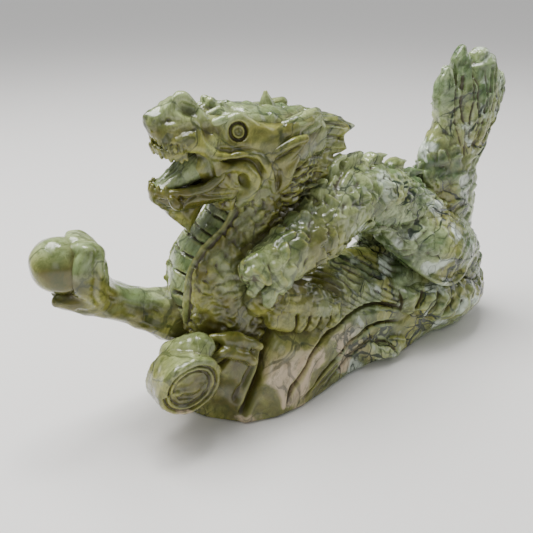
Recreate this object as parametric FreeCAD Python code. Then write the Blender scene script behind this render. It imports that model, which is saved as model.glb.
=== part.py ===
"""Dragon with a pearl, carved from one block of green serpentine jade.

The real carving is a single stone, so nothing here is fastened and nothing moves. Each node is one
carved element of the stone, cut where the carver's own creases run, and neighbours meet face to face.

Frame: millimetres, +Z up, the dragon faces -X, its left flank is -Y. The origin is on the resting
face, at the centre of the object's box.
"""

import FreeCAD
import Part
import math
import os

from FreeCAD import Matrix, Vector

# Driving dimensions
LENGTH = 246.0  # pearl to the back of the tail
HEIGHT = 148.0  # resting face to the tip of the tail
WIDTH = 76.0  # across the wave base
HALF_LENGTH = LENGTH / 2
HALF_WIDTH = WIDTH / 2

PEARL_RADIUS = 11.5
SCROLL_RADIUS = 14.5
SCROLL_THICKNESS = 12.0
SCROLL_X = {-1: -76.0, 1: -46.0}  # the left flank's scroll leads, the right one sits further back
EYE_RADIUS = 3.6
FIN_HEIGHT = 7.5
FIN_LENGTH = 9.0
FIN_THICKNESS = 3.6
PLATE_PROUD = 2.4

CRUMB_SHARE = 0.06  # a cut's crumb below this share of its node's largest solid is dropped
RIM_POINTS = 12  # points round a limb's section

# Stations of each limb: x, y, z of the section's centre, then half its width across and half its height
CHEST_AND_NECK = [
    (-39, 0, 14, 23, 26),
    (-42, 0, 36, 22, 25.5),
    (-47, 0, 55, 20, 22),
    (-46.5, 0, 67, 19, 20.5),
    (-37, 0, 81, 17, 16),
    (-29, 0, 93, 16, 16),
    (-21, 0, 106, 15, 16),
]
NECK_ROOT = (-47, 0, 55)  # the chest ends and the neck begins in the level plane through here
SNOUT = [
    (-40, 0, 122, 15, 12),
    (-52, 0, 126, 13, 9),
    (-63, 0, 129, 11.5, 9),
    (-69, 0, 129.5, 8.5, 6.5),
    (-74, 0, 131, 4, 2.5),
]
LOWER_JAW = [
    (-30, 0, 103, 15, 8),
    (-44, 0, 101.5, 13.5, 6.5),
    (-60, 0, 100.5, 10.5, 5),
    (-70, 0, 101.5, 7.5, 4),
    (-75, 0, 103.5, 3.5, 2),
]
TONGUE = [
    (-44, 0, 111, 6.5, 3.5),
    (-58, 0, 108, 6, 3),
    (-68, 0, 106.5, 4.5, 1.8),
    (-73, 0, 106.5, 2, 0.8),
]
BEARD_OUTLINE = [(-72, 99), (-64, 90), (-56, 81), (-51, 92), (-48, 97)]
BEARD_THICKNESS = 7.0
EAR = [
    (-28, 17, 108, 2.5, 4),
    (-22, 20, 113, 2.5, 5.5),
    (-15, 21, 117, 2, 4),
    (-9, 21, 119, 1, 1.2),
]
HORN = [
    (-22, 11, 126, 4.5, 4.5),
    (-12, 13, 126.5, 4.5, 5),
    (-5, 13.5, 127, 4, 4.5),
    (-1.5, 13.5, 127.5, 2, 2.2),
]
LIP_CORD = [
    (-56, 12, 131, 1.6, 1.6),
    (-52, 13.5, 122, 1.6, 1.6),
    (-44, 16.5, 118.5, 1.6, 1.6),
    (-35, 18.5, 118, 1.6, 1.6),
    (-28, 19, 111, 1.6, 1.6),
    (-26, 18.5, 103, 1.2, 1.2),
]
MANE = [
    (-22, 0, 112, 17, 20),
    (-8, 0, 110, 17, 19),
    (6, 0, 112, 13, 14),
    (18, -1, 115, 7, 6),
    (25, -2, 117, 2, 1.5),
]
MANE_LOCKS = [  # root and tip of each loose lock behind the head
    ((0, -9, 104), (18, -10, 107)),
    ((-6, -13, 97), (10, -14, 95)),
    ((0, 9, 104), (18, 9, 106)),
    ((-6, 13, 97), (10, 14, 95)),
]
ARM = [
    (-58, 5, 42, 13, 15),
    (-68, 5, 44, 11, 12.5),
    (-78, 5.5, 48, 9.5, 10),
    (-89, 6, 55, 9, 8.5),
    (-98, 5.5, 63, 10, 8.5),
    (-102, 5, 72, 11, 8),
    (-102.5, 4.5, 81, 11, 7),
    (-102, 4, 89, 8, 4.5),
]
WRIST = (-91, 6, 57)
WRIST_DIRECTION = (-0.7, 0, 0.7)
PEARL_CENTRE = (-HALF_LENGTH + PEARL_RADIUS, 4, 79.5)
BODY = [
    (-34, -24, 64, 7, 7),
    (-24, -21, 72, 12, 12),
    (-5, -15, 79, 14, 15),
    (14, -9, 82, 15, 15.5),
    (33, -5, 81.5, 15, 15.5),
    (52, -4, 76, 16, 16),
    (70, -5, 66, 18, 17),
    (86, -6, 52, 20, 19),
    (96, -6, 34, 21, 20),
]
BODY_CUTS = (8, 60)  # x of the planes where the body's front, arch and rear elements meet
BODY_UNDER = [
    (-28, -10, 38, 16, 20),
    (-14, -12, 46, 17, 22),
    (2, -10, 48, 16, 22),
    (14, -8, 48, 14, 18),
]
THIGH = [
    (40, -13, 66, 8, 10),
    (56, -17, 56, 12, 19),
    (72, -18, 42, 12, 18),
    (86, -18, 30, 10, 13),
]
HIND_FOOT = [
    (60, -24, 20, 8, 7),
    (72, -26, 20, 9, 8),
    (88, -25, 18, 9, 8),
    (104, -22, 14, 6, 6),
]
FORE_PAW = [
    (-26, -25, 46, 7, 8),
    (-17, -26, 42, 7.5, 8),
    (-7, -26, 37, 7, 6),
]
TAIL = [
    (101, -5, 30, 15, 17),
    (102, -4, 52, 13, 16),
    (98, -4, 72, 11, 15),
    (95, -4, 90, 10, 15),
    (98, -4, 108, 9, 17),
    (101, -4, 124, 8, 19),
    (100, -4, 134, 6, 16),
]
TAIL_WAIST = (95, -4, 90)  # the stem ends and the flame begins in the level plane through here
TAIL_PRONGS = [  # root and tip of each flame point at the top of the tail
    ((92, -4, 128), (87, -4, HEIGHT), 7.5),
    ((103, -4, 128), (104, -4, 145), 9.0),
    ((85, -4, 122), (78, -4, 137), 5.5),
    ((113, -4, 116), (HALF_LENGTH - 1.25, -4, 129), 6.0),
]
WAVE_BASE = [  # x of the section, half width and height of its rounded top
    (-72, 16, 22),
    (-62, 30, 32),
    (-44, HALF_WIDTH - 2.5, 39),
    (-24, HALF_WIDTH - 1.9, 40),
    (4, 31, 42),
    (26, 30, 47),
    (44, 31, 46),
    (70, 33, 40),
    (94, 34, 34),
    (112, 25, 26),
    (119, 14, 16),
]
BASE_CUTS = (4, 60)  # x of the planes where the front, middle and rear of the base meet


def spline_rim(points):
    """A smooth closed wire through the points."""
    curve = Part.BSplineCurve()
    curve.interpolate(Points=points, PeriodicFlag=True)
    return Part.Wire([curve.toShape()])


def limb(stations, mirrored=False):
    """A smooth solid through oval sections that stand square to the line of their centres."""
    side_sign = -1 if mirrored else 1
    centres = [Vector(x, side_sign * y, z) for x, y, z, _, _ in stations]
    rims = []
    for i, (_, _, _, half_width, half_height) in enumerate(stations):
        ahead = centres[min(i + 1, len(centres) - 1)]
        behind = centres[max(i - 1, 0)]
        along = (ahead - behind).normalize()
        across = Vector(0, 1, 0) - along * along.y
        across.normalize()
        upward = along.cross(across)
        rims.append(
            spline_rim(
                [
                    centres[i]
                    + across * (half_width * math.cos(2 * math.pi * k / RIM_POINTS))
                    + upward * (half_height * math.sin(2 * math.pi * k / RIM_POINTS))
                    for k in range(RIM_POINTS)
                ]
            )
        )
    return Part.makeLoft(rims, True, False)


def ellipsoid(centre, radii):
    shape = Part.makeSphere(1.0)
    scale = Matrix()
    scale.scale(Vector(*radii))
    shape = shape.transformGeometry(scale)
    shape.translate(Vector(*centre))
    return shape


def spike(root, tip, radius):
    """A round-nosed cone from root to tip."""
    start = Vector(*root)
    line = Vector(*tip) - start
    nose = radius * 0.25
    return Part.makeCone(radius, nose, line.Length, start, line)


def slab(outline, thickness, centre_y=0.0):
    """An upright plate of that outline in x and z."""
    points = [Vector(x, centre_y - thickness / 2, z) for x, z in outline]
    return Part.Face(Part.makePolygon(points + [points[0]])).extrude(Vector(0, thickness, 0))


def parted(shape, point, direction):
    """The two pieces of a shape behind and ahead of a plane, which stands square to the direction."""
    reach = 4 * LENGTH
    spot, ahead = Vector(*point), Vector(*direction)
    return [
        shape.common(Part.makeCylinder(reach, reach, spot, way)) for way in (ahead * -1, ahead)
    ]


def parted_in_x(shape, cuts):
    """The three pieces of a shape between two planes across x."""
    first, rest = parted(shape, (cuts[0], 0, 0), (1, 0, 0))
    second, third = parted(rest, (cuts[1], 0, 0), (1, 0, 0))
    return first, second, third


# Base

def wave_base():
    """A block with a rounded top, lofted along x, and ground flat underneath."""
    rims = []
    ground_off = 3.0
    for x, half_width, height in WAVE_BASE:
        shoulder_y, shoulder_z = half_width * 0.86, height * 0.62
        foot_left, foot_right = Vector(x, -half_width, -ground_off), Vector(x, half_width, -ground_off)
        top = Part.BSplineCurve()
        top.interpolate(
            [
                foot_left,
                Vector(x, -shoulder_y, shoulder_z),
                Vector(x, 0, height),
                Vector(x, shoulder_y, shoulder_z),
                foot_right,
            ]
        )
        rims.append(Part.Wire([top.toShape(), Part.makeLine(foot_right, foot_left)]))
    return parted(Part.makeLoft(rims, True, False), (0, 0, 0), (0, 0, 1))[1]


def scroll(side):
    """A cloud scroll: a thick disc with a raised rim and a boss, leaning back a little."""
    r, t = SCROLL_RADIUS, SCROLL_THICKNESS
    rim, recess, boss = 3.2, 2.0, 4.0
    profile = [
        Vector(0, 0, 0),
        Vector(r - 2, 0, 0),
        Vector(r, 0, 2.5),
        Vector(r, 0, t - 2),
        Vector(r - 1.5, 0, t),
        Vector(r - rim, 0, t),
        Vector(r - rim - 1, 0, t - recess),
        Vector(boss, 0, t - recess),
        Vector(boss - 1.5, 0, t - 0.5),
        Vector(0, 0, t - 0.5),
    ]
    shape = Part.Face(Part.makePolygon(profile + [profile[0]])).revolve(
        Vector(0, 0, 0), Vector(0, 0, 1), 360
    )
    lean = 10.0
    shape.rotate(Vector(0, 0, 0), Vector(1, 0, 0), side * (-90 + lean))
    foot = 19.5
    shape.translate(Vector(SCROLL_X[side], side * foot, 31 - t * math.sin(math.radians(lean))))
    return shape


def scroll_knob(side):
    """The scroll's small upper lobe."""
    return ellipsoid((SCROLL_X[side] + 7, side * 18, 41.5), (8, 9, 7.5))


def base_curl():
    """The small curled lip of the wave low on the left flank."""
    return Part.makeCylinder(7.0, 12.0, Vector(34, -22, 7.5), Vector(0, -1, 0))


def cloud_ridges():
    """Two leaf-shaped ridges beside the left scroll."""
    upper = ellipsoid((-46, -26, 40.5), (11, 4.5, 2.6))
    lower = ellipsoid((-48, -29, 34), (10, 4.5, 2.6))
    return Part.makeCompound([upper, lower])


# Head

def horns(side):
    return limb([(x, side * y, z, w, h) for x, y, z, w, h in HORN])


def ear(side):
    return limb([(x, side * y, z, w, h) for x, y, z, w, h in EAR])


def lip_cord(side):
    return limb([(x, side * y, z, w, h) for x, y, z, w, h in LIP_CORD])


def eyes():
    depth = 7.0
    return Part.makeCompound(
        [
            Part.makeCylinder(EYE_RADIUS, depth, Vector(-43, side * 11.5, 127), Vector(0, side, 0.1))
            for side in (-1, 1)
        ]
    )


def nostrils():
    return Part.makeCompound([ellipsoid((-63, side * 6, 136), (7, 4, 4.2)) for side in (-1, 1)])


def cheek_scrolls():
    thickness = 5.5
    return Part.makeCompound(
        [
            Part.makeCylinder(8.0, thickness, Vector(-37, side * 13.5, 109), Vector(0, side, 0))
            for side in (-1, 1)
        ]
    )


def lower_tusks():
    return Part.makeCompound(
        [spike((-66, side * 8.2, 102), (-68, side * 8.8, 109), 2.2) for side in (-1, 1)]
    )


def upper_teeth():
    """Short teeth round the front of the upper lip."""
    teeth = []
    count, half_angle = 7, 75.0
    for i in range(count):
        angle = math.radians(-half_angle + 2 * half_angle * i / (count - 1))
        x = -62 - 9.5 * math.cos(angle)
        y = 8.5 * math.sin(angle)
        teeth.append(spike((x, y, 127), (x + 1, y, 118), 1.9))
    return Part.makeCompound(teeth)


def brow_crest():
    """The ridge of swept hair on top of the skull."""
    return limb(
        [
            (-50, 0, 132.5, 4, 2),
            (-44, 0, 132.5, 10, 3.5),
            (-30, 0, 131.5, 13, 4),
            (-14, 0, 130, 11, 4),
            (-4, 0, 127.5, 6, 3),
        ]
    )


# Trunk

def belly_plates(neck):
    """Plates down the front of the neck: slices of the neck itself, standing a little proud of it."""
    count, first, pitch, gap, width = 11, 44.5, 4.3, 0.9, 17.0
    proud = neck.translated(Vector(-PLATE_PROUD, 0, 0))
    plates = []
    for i in range(count):
        corner = Vector(-LENGTH, -width / 2, first + i * pitch)
        plates.append(proud.common(Part.makeBox(LENGTH, width, pitch - gap, corner)))
    return Part.makeCompound(plates)


def body_point(distance):
    """A point on the body's back, with the direction along it, at a share of its length from 0 to 1."""
    spot = distance * (len(BODY) - 1)
    i = min(int(spot), len(BODY) - 2)
    share = spot - i
    a, b = BODY[i], BODY[i + 1]
    centre = Vector(*[a[k] + (b[k] - a[k]) * share for k in range(3)])
    along = Vector(*[b[k] - a[k] for k in range(3)]).normalize()
    radius = a[4] + (b[4] - a[4]) * share
    outward = Vector(-along.z, 0, along.x).normalize()
    return centre, along, outward, radius


def dorsal_fins():
    """A row of flame-shaped fins along the body's back, their points leaning towards the tail."""
    fins = []
    count, first, last = 11, 0.12, 0.80
    for i in range(count):
        centre, along, outward, radius = body_point(first + (last - first) * i / (count - 1))
        foot = centre + outward * (radius - 2.5)
        length, height = FIN_LENGTH, FIN_HEIGHT + 2.0
        corners = [
            foot - along * (length * 0.55),
            foot + along * (length * 0.35),
            foot + along * (length * 0.40) + outward * (height * 0.55),
            foot + along * (length * 0.55) + outward * height,
            foot + along * (length * 0.10) + outward * (height * 0.95),
        ]
        across = along.cross(outward).normalize() * FIN_THICKNESS
        face = Part.Face(Part.makePolygon(corners + [corners[0]]))
        face.translate(across * -0.5)
        fins.append(face.extrude(across))
    return Part.makeCompound(fins)


def shoulder_claws():
    """Three hooked toes at the lower end of the body's front element."""
    return Part.makeCompound(
        [
            spike((-33, -26, 68), (-41, -28, 63), 3.6),
            spike((-30, -29, 64), (-36, -32, 57), 3.4),
            spike((-25, -31, 62), (-28, -34, 54), 3.2),
        ]
    )


def claws(positions, drop, radius):
    """A row of toes that curl down over the wave."""
    return Part.makeCompound(
        [spike((x, y, z), (x + 2, y - 1.5, z - drop), radius) for x, y, z in positions]
    )


def fore_claws():
    return claws([(-19, -32, 41), (-13, -32.5, 39), (-7, -32, 37)], 9, 2.4)


def hind_claws(side):
    toes = claws([(64, -31.5, 22), (72, -32.5, 21), (80, -32.5, 20), (88, -31.5, 18)], 10, 3.2)
    if side > 0:
        toes = toes.mirror(Vector(0, 0, 0), Vector(0, 1, 0))
    return toes


def fingers():
    """Fingers of the raised hand closing round the pearl."""
    tips = []
    for side in (-1, 1):
        tips.append(spike((-99, 4 + side * 5, 87), (-107, 4 + side * 4.5, 91), 3.2))
        tips.append(spike((-104, 4 + side * 4, 61), (-114, 3 + side * 3, 65), 4.5))
    return Part.makeCompound(tips)


def mane_locks():
    return Part.makeCompound([spike(root, tip, 5.0) for root, tip in MANE_LOCKS])


def tail_prongs():
    return Part.makeCompound([spike(root, tip, radius) for root, tip, radius in TAIL_PRONGS])


made = {}


def place(name, shape, against=()):
    """Keeps a shape as a node, cut back so that it only touches the nodes it grows from."""
    for other in against:
        shape = shape.cut(made[other])
    largest = max(solid.Volume for solid in shape.Solids)
    solids = [solid for solid in shape.Solids if solid.Volume > CRUMB_SHARE * largest]
    for solid in solids:
        if not solid.isValid():
            raise ValueError(f"{name} has a solid that isn't valid")
    made[name] = solids[0] if len(solids) == 1 else Part.makeCompound(solids)


def build():
    base_front, base_middle, base_rear = parted_in_x(wave_base(), BASE_CUTS)
    place("wave_base_front", base_front)
    place("wave_base_middle", base_middle)
    place("wave_base_rear", base_rear)
    place("base_curl", base_curl(), ["wave_base_middle", "wave_base_front"])
    column = limb(CHEST_AND_NECK)
    chest, neck = parted(column, NECK_ROOT, (0, 0, 1))
    place("chest", chest, ["wave_base_front"])
    place("neck", neck)
    for side, name in ((-1, "left"), (1, "right")):
        place(f"{name}_scroll", scroll(side), ["wave_base_front", "chest"])
        place(
            f"{name}_scroll_knob",
            scroll_knob(side),
            ["wave_base_front", "chest", f"{name}_scroll"],
        )
    place("cloud_ridges", cloud_ridges(), ["wave_base_front", "chest", "left_scroll", "left_scroll_knob"])

    place("skull", ellipsoid((-28, 0, 119), (27, 18.5, 16)), ["neck"])
    place("snout", limb(SNOUT), ["skull"])
    place("nostrils", nostrils(), ["snout"])
    place("lower_jaw", limb(LOWER_JAW), ["skull", "neck"])
    place("tongue", limb(TONGUE), ["skull", "lower_jaw", "neck"])
    place("beard", slab(BEARD_OUTLINE, BEARD_THICKNESS), ["lower_jaw", "neck"])
    place("lower_tusks", lower_tusks(), ["lower_jaw", "tongue"])
    place("upper_teeth", upper_teeth(), ["snout"])
    place("cheek_scrolls", cheek_scrolls(), ["skull", "lower_jaw", "neck"])
    place("eyes", eyes(), ["skull", "snout"])
    place("brow_crest", brow_crest(), ["skull", "snout", "nostrils"])
    place("mane", limb(MANE), ["skull", "neck", "lower_jaw", "cheek_scrolls", "brow_crest"])
    place("crest_horn", spike((-20, 0, 128), (-21, 0, 137.5), 4.5), ["skull", "brow_crest", "mane"])
    for side, name in ((-1, "left"), (1, "right")):
        place(
            f"{name}_horn",
            horns(side),
            ["skull", "brow_crest", "mane", "crest_horn"],
        )
        place(f"{name}_ear", ear(side), ["skull", "mane", "cheek_scrolls", "lower_jaw", "neck"])
        place(
            f"{name}_lip_cord",
            lip_cord(side),
            ["skull", "snout", "cheek_scrolls", "lower_jaw", "neck", "mane", f"{name}_ear", "eyes"],
        )

    place("body_under", limb(BODY_UNDER), ["wave_base_front", "wave_base_middle", "chest", "neck"])
    body_front, body_arch, body_rear = parted_in_x(limb(BODY), BODY_CUTS)
    place(
        "body_front",
        body_front,
        ["chest", "neck", "body_under", "wave_base_front", "wave_base_middle", "mane"],
    )
    place(
        "body_arch",
        body_arch,
        ["body_under", "wave_base_middle", "wave_base_front", "mane"],
    )
    place("body_rear", body_rear, ["wave_base_rear", "wave_base_middle"])
    place("mane_locks", mane_locks(), ["mane", "neck", "skull", "body_front", "body_arch", "chest"])
    place(
        "shoulder_claws",
        shoulder_claws(),
        ["body_front", "chest", "neck", "body_under", "wave_base_front"],
    )
    place(
        "left_fore_paw",
        limb(FORE_PAW),
        ["body_under", "body_front", "chest", "wave_base_front", "wave_base_middle", "shoulder_claws"],
    )
    place(
        "left_fore_claws",
        fore_claws(),
        ["left_fore_paw", "body_under", "wave_base_front", "wave_base_middle"],
    )
    trunk = ["body_front", "body_arch", "body_rear", "body_under"]
    bases = ["wave_base_front", "wave_base_middle", "wave_base_rear"]
    for side, name in ((-1, "left"), (1, "right")):
        place(f"{name}_thigh", limb(THIGH, mirrored=side > 0), trunk + bases)
        place(
            f"{name}_hind_foot",
            limb(HIND_FOOT, mirrored=side > 0),
            trunk + bases + [f"{name}_thigh"],
        )
        place(
            f"{name}_hind_claws",
            hind_claws(side),
            [f"{name}_hind_foot", f"{name}_thigh"] + bases,
        )
    hind = [f"{side}_{piece}" for side in ("left", "right") for piece in ("thigh", "hind_foot")]
    tail_stem, tail_flame = parted(limb(TAIL), TAIL_WAIST, (0, 0, 1))
    place("tail_stem", tail_stem, trunk + bases + hind)
    place("tail_flame", tail_flame)
    place("tail_prongs", tail_prongs(), ["tail_flame", "tail_stem"])
    place(
        "dorsal_fins",
        dorsal_fins(),
        ["body_front", "body_arch", "body_rear", "mane", "neck", "mane_locks", "tail_stem"],
    )

    knobs = ["left_scroll_knob", "right_scroll_knob"]
    right_forearm, right_hand = parted(limb(ARM), WRIST, WRIST_DIRECTION)
    place("right_forearm", right_forearm, ["chest", "neck", "wave_base_front"] + knobs)
    place("right_hand", right_hand)
    place("pearl", Part.makeSphere(PEARL_RADIUS, Vector(*PEARL_CENTRE)), ["right_hand"])
    place("fingers", fingers(), ["right_hand", "pearl", "right_forearm"])
    place("belly_plates", belly_plates(column), ["neck", "chest", "right_forearm", "lower_jaw", "beard"])


def write():
    os.makedirs("parts", exist_ok=True)
    box = FreeCAD.BoundBox()
    for name, shape in made.items():
        shape.exportStep(f"parts/{name}.step")
        box.add(shape.optimalBoundingBox(False))
        print(f"{name:20s} {shape.Volume / 1000:8.2f} cm3 in {len(shape.Solids)} solids")
    print(f"box x {box.XMin:.2f} {box.XMax:.2f}  y {box.YMin:.2f} {box.YMax:.2f}  z {box.ZMin:.2f} {box.ZMax:.2f}")


build()
write()
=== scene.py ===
"""The looks of a dragon carved from one block of green jade.

Each piece is sculpted in its own block of voxels, which holds the distance to the carved surface,
and then meshed. Lengths are millimetres in the frame that the CAD parts share: +Z up, the head
faces -X, the left flank is -Y.
"""

import math

import bpy
import numpy as np
import openvdb
from mathutils import Euler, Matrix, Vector


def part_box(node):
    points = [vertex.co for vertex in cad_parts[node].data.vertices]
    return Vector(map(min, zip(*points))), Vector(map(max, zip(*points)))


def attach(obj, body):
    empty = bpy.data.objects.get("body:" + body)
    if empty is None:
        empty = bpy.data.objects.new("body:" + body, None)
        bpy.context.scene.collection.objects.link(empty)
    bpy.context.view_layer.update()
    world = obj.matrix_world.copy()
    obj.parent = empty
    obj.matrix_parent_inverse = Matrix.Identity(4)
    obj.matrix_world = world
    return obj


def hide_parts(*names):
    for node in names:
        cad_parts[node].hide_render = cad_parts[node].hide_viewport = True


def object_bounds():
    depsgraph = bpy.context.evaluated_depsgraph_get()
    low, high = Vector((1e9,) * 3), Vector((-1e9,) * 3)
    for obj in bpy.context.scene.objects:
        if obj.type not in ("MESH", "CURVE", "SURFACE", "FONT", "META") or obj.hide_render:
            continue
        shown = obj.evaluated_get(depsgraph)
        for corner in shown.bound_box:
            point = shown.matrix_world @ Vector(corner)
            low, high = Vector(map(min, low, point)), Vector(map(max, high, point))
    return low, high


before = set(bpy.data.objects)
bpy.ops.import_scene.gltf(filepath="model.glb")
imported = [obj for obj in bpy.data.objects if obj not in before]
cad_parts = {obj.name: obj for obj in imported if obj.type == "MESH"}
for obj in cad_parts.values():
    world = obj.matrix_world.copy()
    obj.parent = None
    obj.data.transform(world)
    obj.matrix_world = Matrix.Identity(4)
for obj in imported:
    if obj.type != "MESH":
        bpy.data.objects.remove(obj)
cad_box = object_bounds()

MM = 0.001
LATTICE = 1.8  # every block's voxels divide this, so that the blocks line up with each other
FINE = LATTICE / 4
COARSE = LATTICE / 3
FAR = 6.0  # the distance held where no stone is near
KEPT_SHARE = 0.45  # of each piece's faces
SPAN = 8  # samples between two stations of a smooth line
FINE_REACH, FINE_BLUR = 2.5, 1.0  # the most distance that counts, and the blur, for small cuts and edges
BROAD_REACH = 4.0  # the most distance that counts for broad hollows and heights
SIDEWAYS, UPWARD = (0, 1, 0), (0, 0, 1)  # grooves are cut along the first on a flank, the second on top


# Distances

def fade(value, start, length, most=1.0):
    """Goes from 0 to most while the value goes over that length from start."""
    return most * np.clip((value - start) / length, 0, 1)


def smooth_min(a, b, blend):
    share = np.clip(0.5 + 0.5 * (b - a) / blend, 0, 1)
    return b + (a - b) * share - blend * share * (1 - share)


def smooth_line(stations, span=SPAN):
    """A smooth line through stations. Columns past x, y and z, such as radii, change smoothly with it."""
    p = np.array(stations, float)
    p = np.vstack([2 * p[0] - p[1], p, 2 * p[-1] - p[-2]])
    t = (np.arange(span) / span)[:, None]
    rows = []
    for a, b, c, d in zip(p, p[1:], p[2:], p[3:]):
        cubic = (3 * (b - c) + d - a) * t**3 + (2 * a - 5 * b + 4 * c - d) * t**2
        rows.append(b + 0.5 * ((c - a) * t + cubic))
    rows.append(p[-2][None])
    return np.vstack(rows).astype(np.float32)


def nearest(line, x, y, z):
    """The squared distance to a line, and the place along it of the nearest point, counted in samples."""
    best = np.full(np.broadcast(x, y, z).shape, 1e9, np.float32)
    place = np.zeros_like(best)
    for i, (a, b) in enumerate(zip(line[:, :3], line[1:, :3])):
        ab = b - a
        t = (x - a[0]) * ab[0] + (y - a[1]) * ab[1] + (z - a[2]) * ab[2]
        t = np.clip(t / max(float(ab @ ab), 1e-6), 0, 1)
        gap = (x - a[0] - t * ab[0]) ** 2 + (y - a[1] - t * ab[1]) ** 2 + (z - a[2] - t * ab[2]) ** 2
        closer = gap < best
        best = np.where(closer, gap, best)
        place = np.where(closer, t + i, place)
    return best, place


def ripple(x, y, z, size, seed):
    """Smooth noise between about -1 and 1, with waves about that size."""
    rng = np.random.default_rng(seed)
    total = 0
    waves = 7
    for _ in range(waves):
        way = rng.normal(size=3)
        way *= 2 * math.pi / size * rng.uniform(0.7, 1.4) / np.linalg.norm(way)
        total = total + np.sin(x * way[0] + y * way[1] + z * way[2] + rng.uniform(0, 2 * math.pi))
    return (total / math.sqrt(waves)).astype(np.float32)


class Shape:
    """A distance function and the box that its solid fills."""

    def __init__(self, low, high, distance):
        self.low = np.array(low, float)
        self.high = np.array(high, float)
        self.distance = distance


def ball(centre, radii, turn=(0, 0, 0)):
    """An egg. Its turn is in degrees about X, Y and Z."""
    if np.isscalar(radii):
        radii = (radii,) * 3
    axes = np.array(Euler([math.radians(a) for a in turn]).to_matrix()).T
    c = np.array(centre, float)

    def distance(x, y, z):
        local = [axis[0] * (x - c[0]) + axis[1] * (y - c[1]) + axis[2] * (z - c[2]) for axis in axes]
        near = np.sqrt(sum((u / r) ** 2 for u, r in zip(local, radii)))
        slope = np.sqrt(sum((u / r**2) ** 2 for u, r in zip(local, radii)))
        return near * (near - 1) / (slope + 1e-4)

    reach = np.abs(axes.T) @ np.array(radii)
    return Shape(c - reach, c + reach, distance)


def strand(stations, span=SPAN):
    """A round strand through stations of x, y, z and radius."""
    line = smooth_line(stations, span)
    radii = line[:, 3]

    def distance(x, y, z):
        squared, place = nearest(line, x, y, z)
        return np.sqrt(squared) - np.interp(place, np.arange(len(radii)), radii)

    fat = radii.max()
    return Shape(line[:, :3].min(0) - fat, line[:, :3].max(0) + fat, distance)


def plate(outline, centre_y, half_thickness, rounding=1.0, bulge=0.0):
    """An upright plate with rounded edges, of that outline in x and z. It may be thicker in the middle."""
    points = [np.array(p, float) for p in outline]

    def distance(x, y, z):
        flat = polygon_distance(points, x, z)
        thick = half_thickness + bulge * np.clip(-flat / 4, 0, 1)
        return -smooth_min(-flat, thick - np.abs(y - centre_y), rounding)

    xs, zs = [p[0] for p in points], [p[1] for p in points]
    half = half_thickness + bulge
    return Shape(
        (min(xs), centre_y - half, min(zs)), (max(xs), centre_y + half, max(zs)), distance
    )


def polygon_distance(points, u, v):
    """The signed distance to a closed outline, negative inside it."""
    best, inside = 1e9, False
    for a, b in zip(points, points[1:] + points[:1]):
        ab = b - a
        t = np.clip(((u - a[0]) * ab[0] + (v - a[1]) * ab[1]) / (ab @ ab), 0, 1)
        best = np.minimum(best, (u - a[0] - t * ab[0]) ** 2 + (v - a[1] - t * ab[1]) ** 2)
        if a[1] != b[1]:
            crosses = ((a[1] > v) != (b[1] > v)) & (u < (v - a[1]) * ab[0] / ab[1] + a[0])
            inside = np.logical_xor(inside, crosses)
    return np.where(inside, -np.sqrt(best), np.sqrt(best))


class Limb:
    """An oval limb through stations of x, y, z, half its width across and half its height."""

    def __init__(self, stations):
        self.line = smooth_line(stations)
        along = np.gradient(self.line[:, :3], axis=0)
        along /= np.linalg.norm(along, axis=1)[:, None]
        across = np.array([0, 1, 0]) - along * along[:, 1:2]
        across /= np.linalg.norm(across, axis=1)[:, None]
        self.across = across
        self.upward = np.cross(along, across)
        steps = np.linalg.norm(np.diff(self.line[:, :3], axis=0), axis=1)
        self.length = np.concatenate([[0], np.cumsum(steps)])

    def locate(self, x, y, z):
        """For each voxel: length along the limb, offset across and upward, and the radii there."""
        squared, place = nearest(self.line, x, y, z)
        samples = np.arange(len(self.line))

        def at(values):
            return np.interp(place, samples, values).astype(np.float32)

        gap = [v - at(self.line[:, i]) for i, v in enumerate((x, y, z))]
        u = sum(g * at(self.across[:, i]) for i, g in enumerate(gap))
        v = sum(g * at(self.upward[:, i]) for i, g in enumerate(gap))
        past_end = np.maximum(squared - u**2 - v**2, 0)
        return at(self.length), u, v, past_end, at(self.line[:, 3]), at(self.line[:, 4])

    def shape(self, power=2):
        """The limb as a solid. Its section is an oval, or squarer with a greater power."""
        def distance(x, y, z):
            _, u, v, past_end, a, b = self.locate(x, y, z)
            gaps = [(np.abs(u), a), (np.abs(v), b), (np.sqrt(past_end), np.minimum(a, b))]
            near = sum((gap / r) ** power for gap, r in gaps) ** (1 / power)
            slope = np.sqrt(sum((gap ** (power - 1) / r**power) ** 2 for gap, r in gaps))
            return near ** (power - 1) * (near - 1) / (slope + 1e-4)

        fat = self.line[:, 3:5].max(1)[:, None]
        return Shape(
            (self.line[:, :3] - fat).min(0), (self.line[:, :3] + fat).max(0), distance
        )


def scale_height(along, around, length, width, height):
    """The height of overlapping scales. Their tips point to where `along` grows."""
    top = np.zeros(np.broadcast(along, around).shape, np.float32)
    row_here = np.floor(along / length)
    for back in (0, 1):
        row = row_here - back
        shift = 0.5 * (row % 2)
        column = np.round(around / width - shift)
        aside = np.abs(around / width - shift - column)
        wobble = 0.18 * np.sin(row * 12.9 + column * 78.2)
        t = (along / length - row) / (2 + wobble)
        half = 0.66 * np.sqrt(np.clip(1 - np.clip(t, 0, 1) ** 2.4, 0, 1))
        covers = (aside < half) & (t < 1)
        lift = height * (0.25 + 0.75 * t - 0.9 * aside**2)
        top = np.where(covers, lift, top)
    return top


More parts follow.
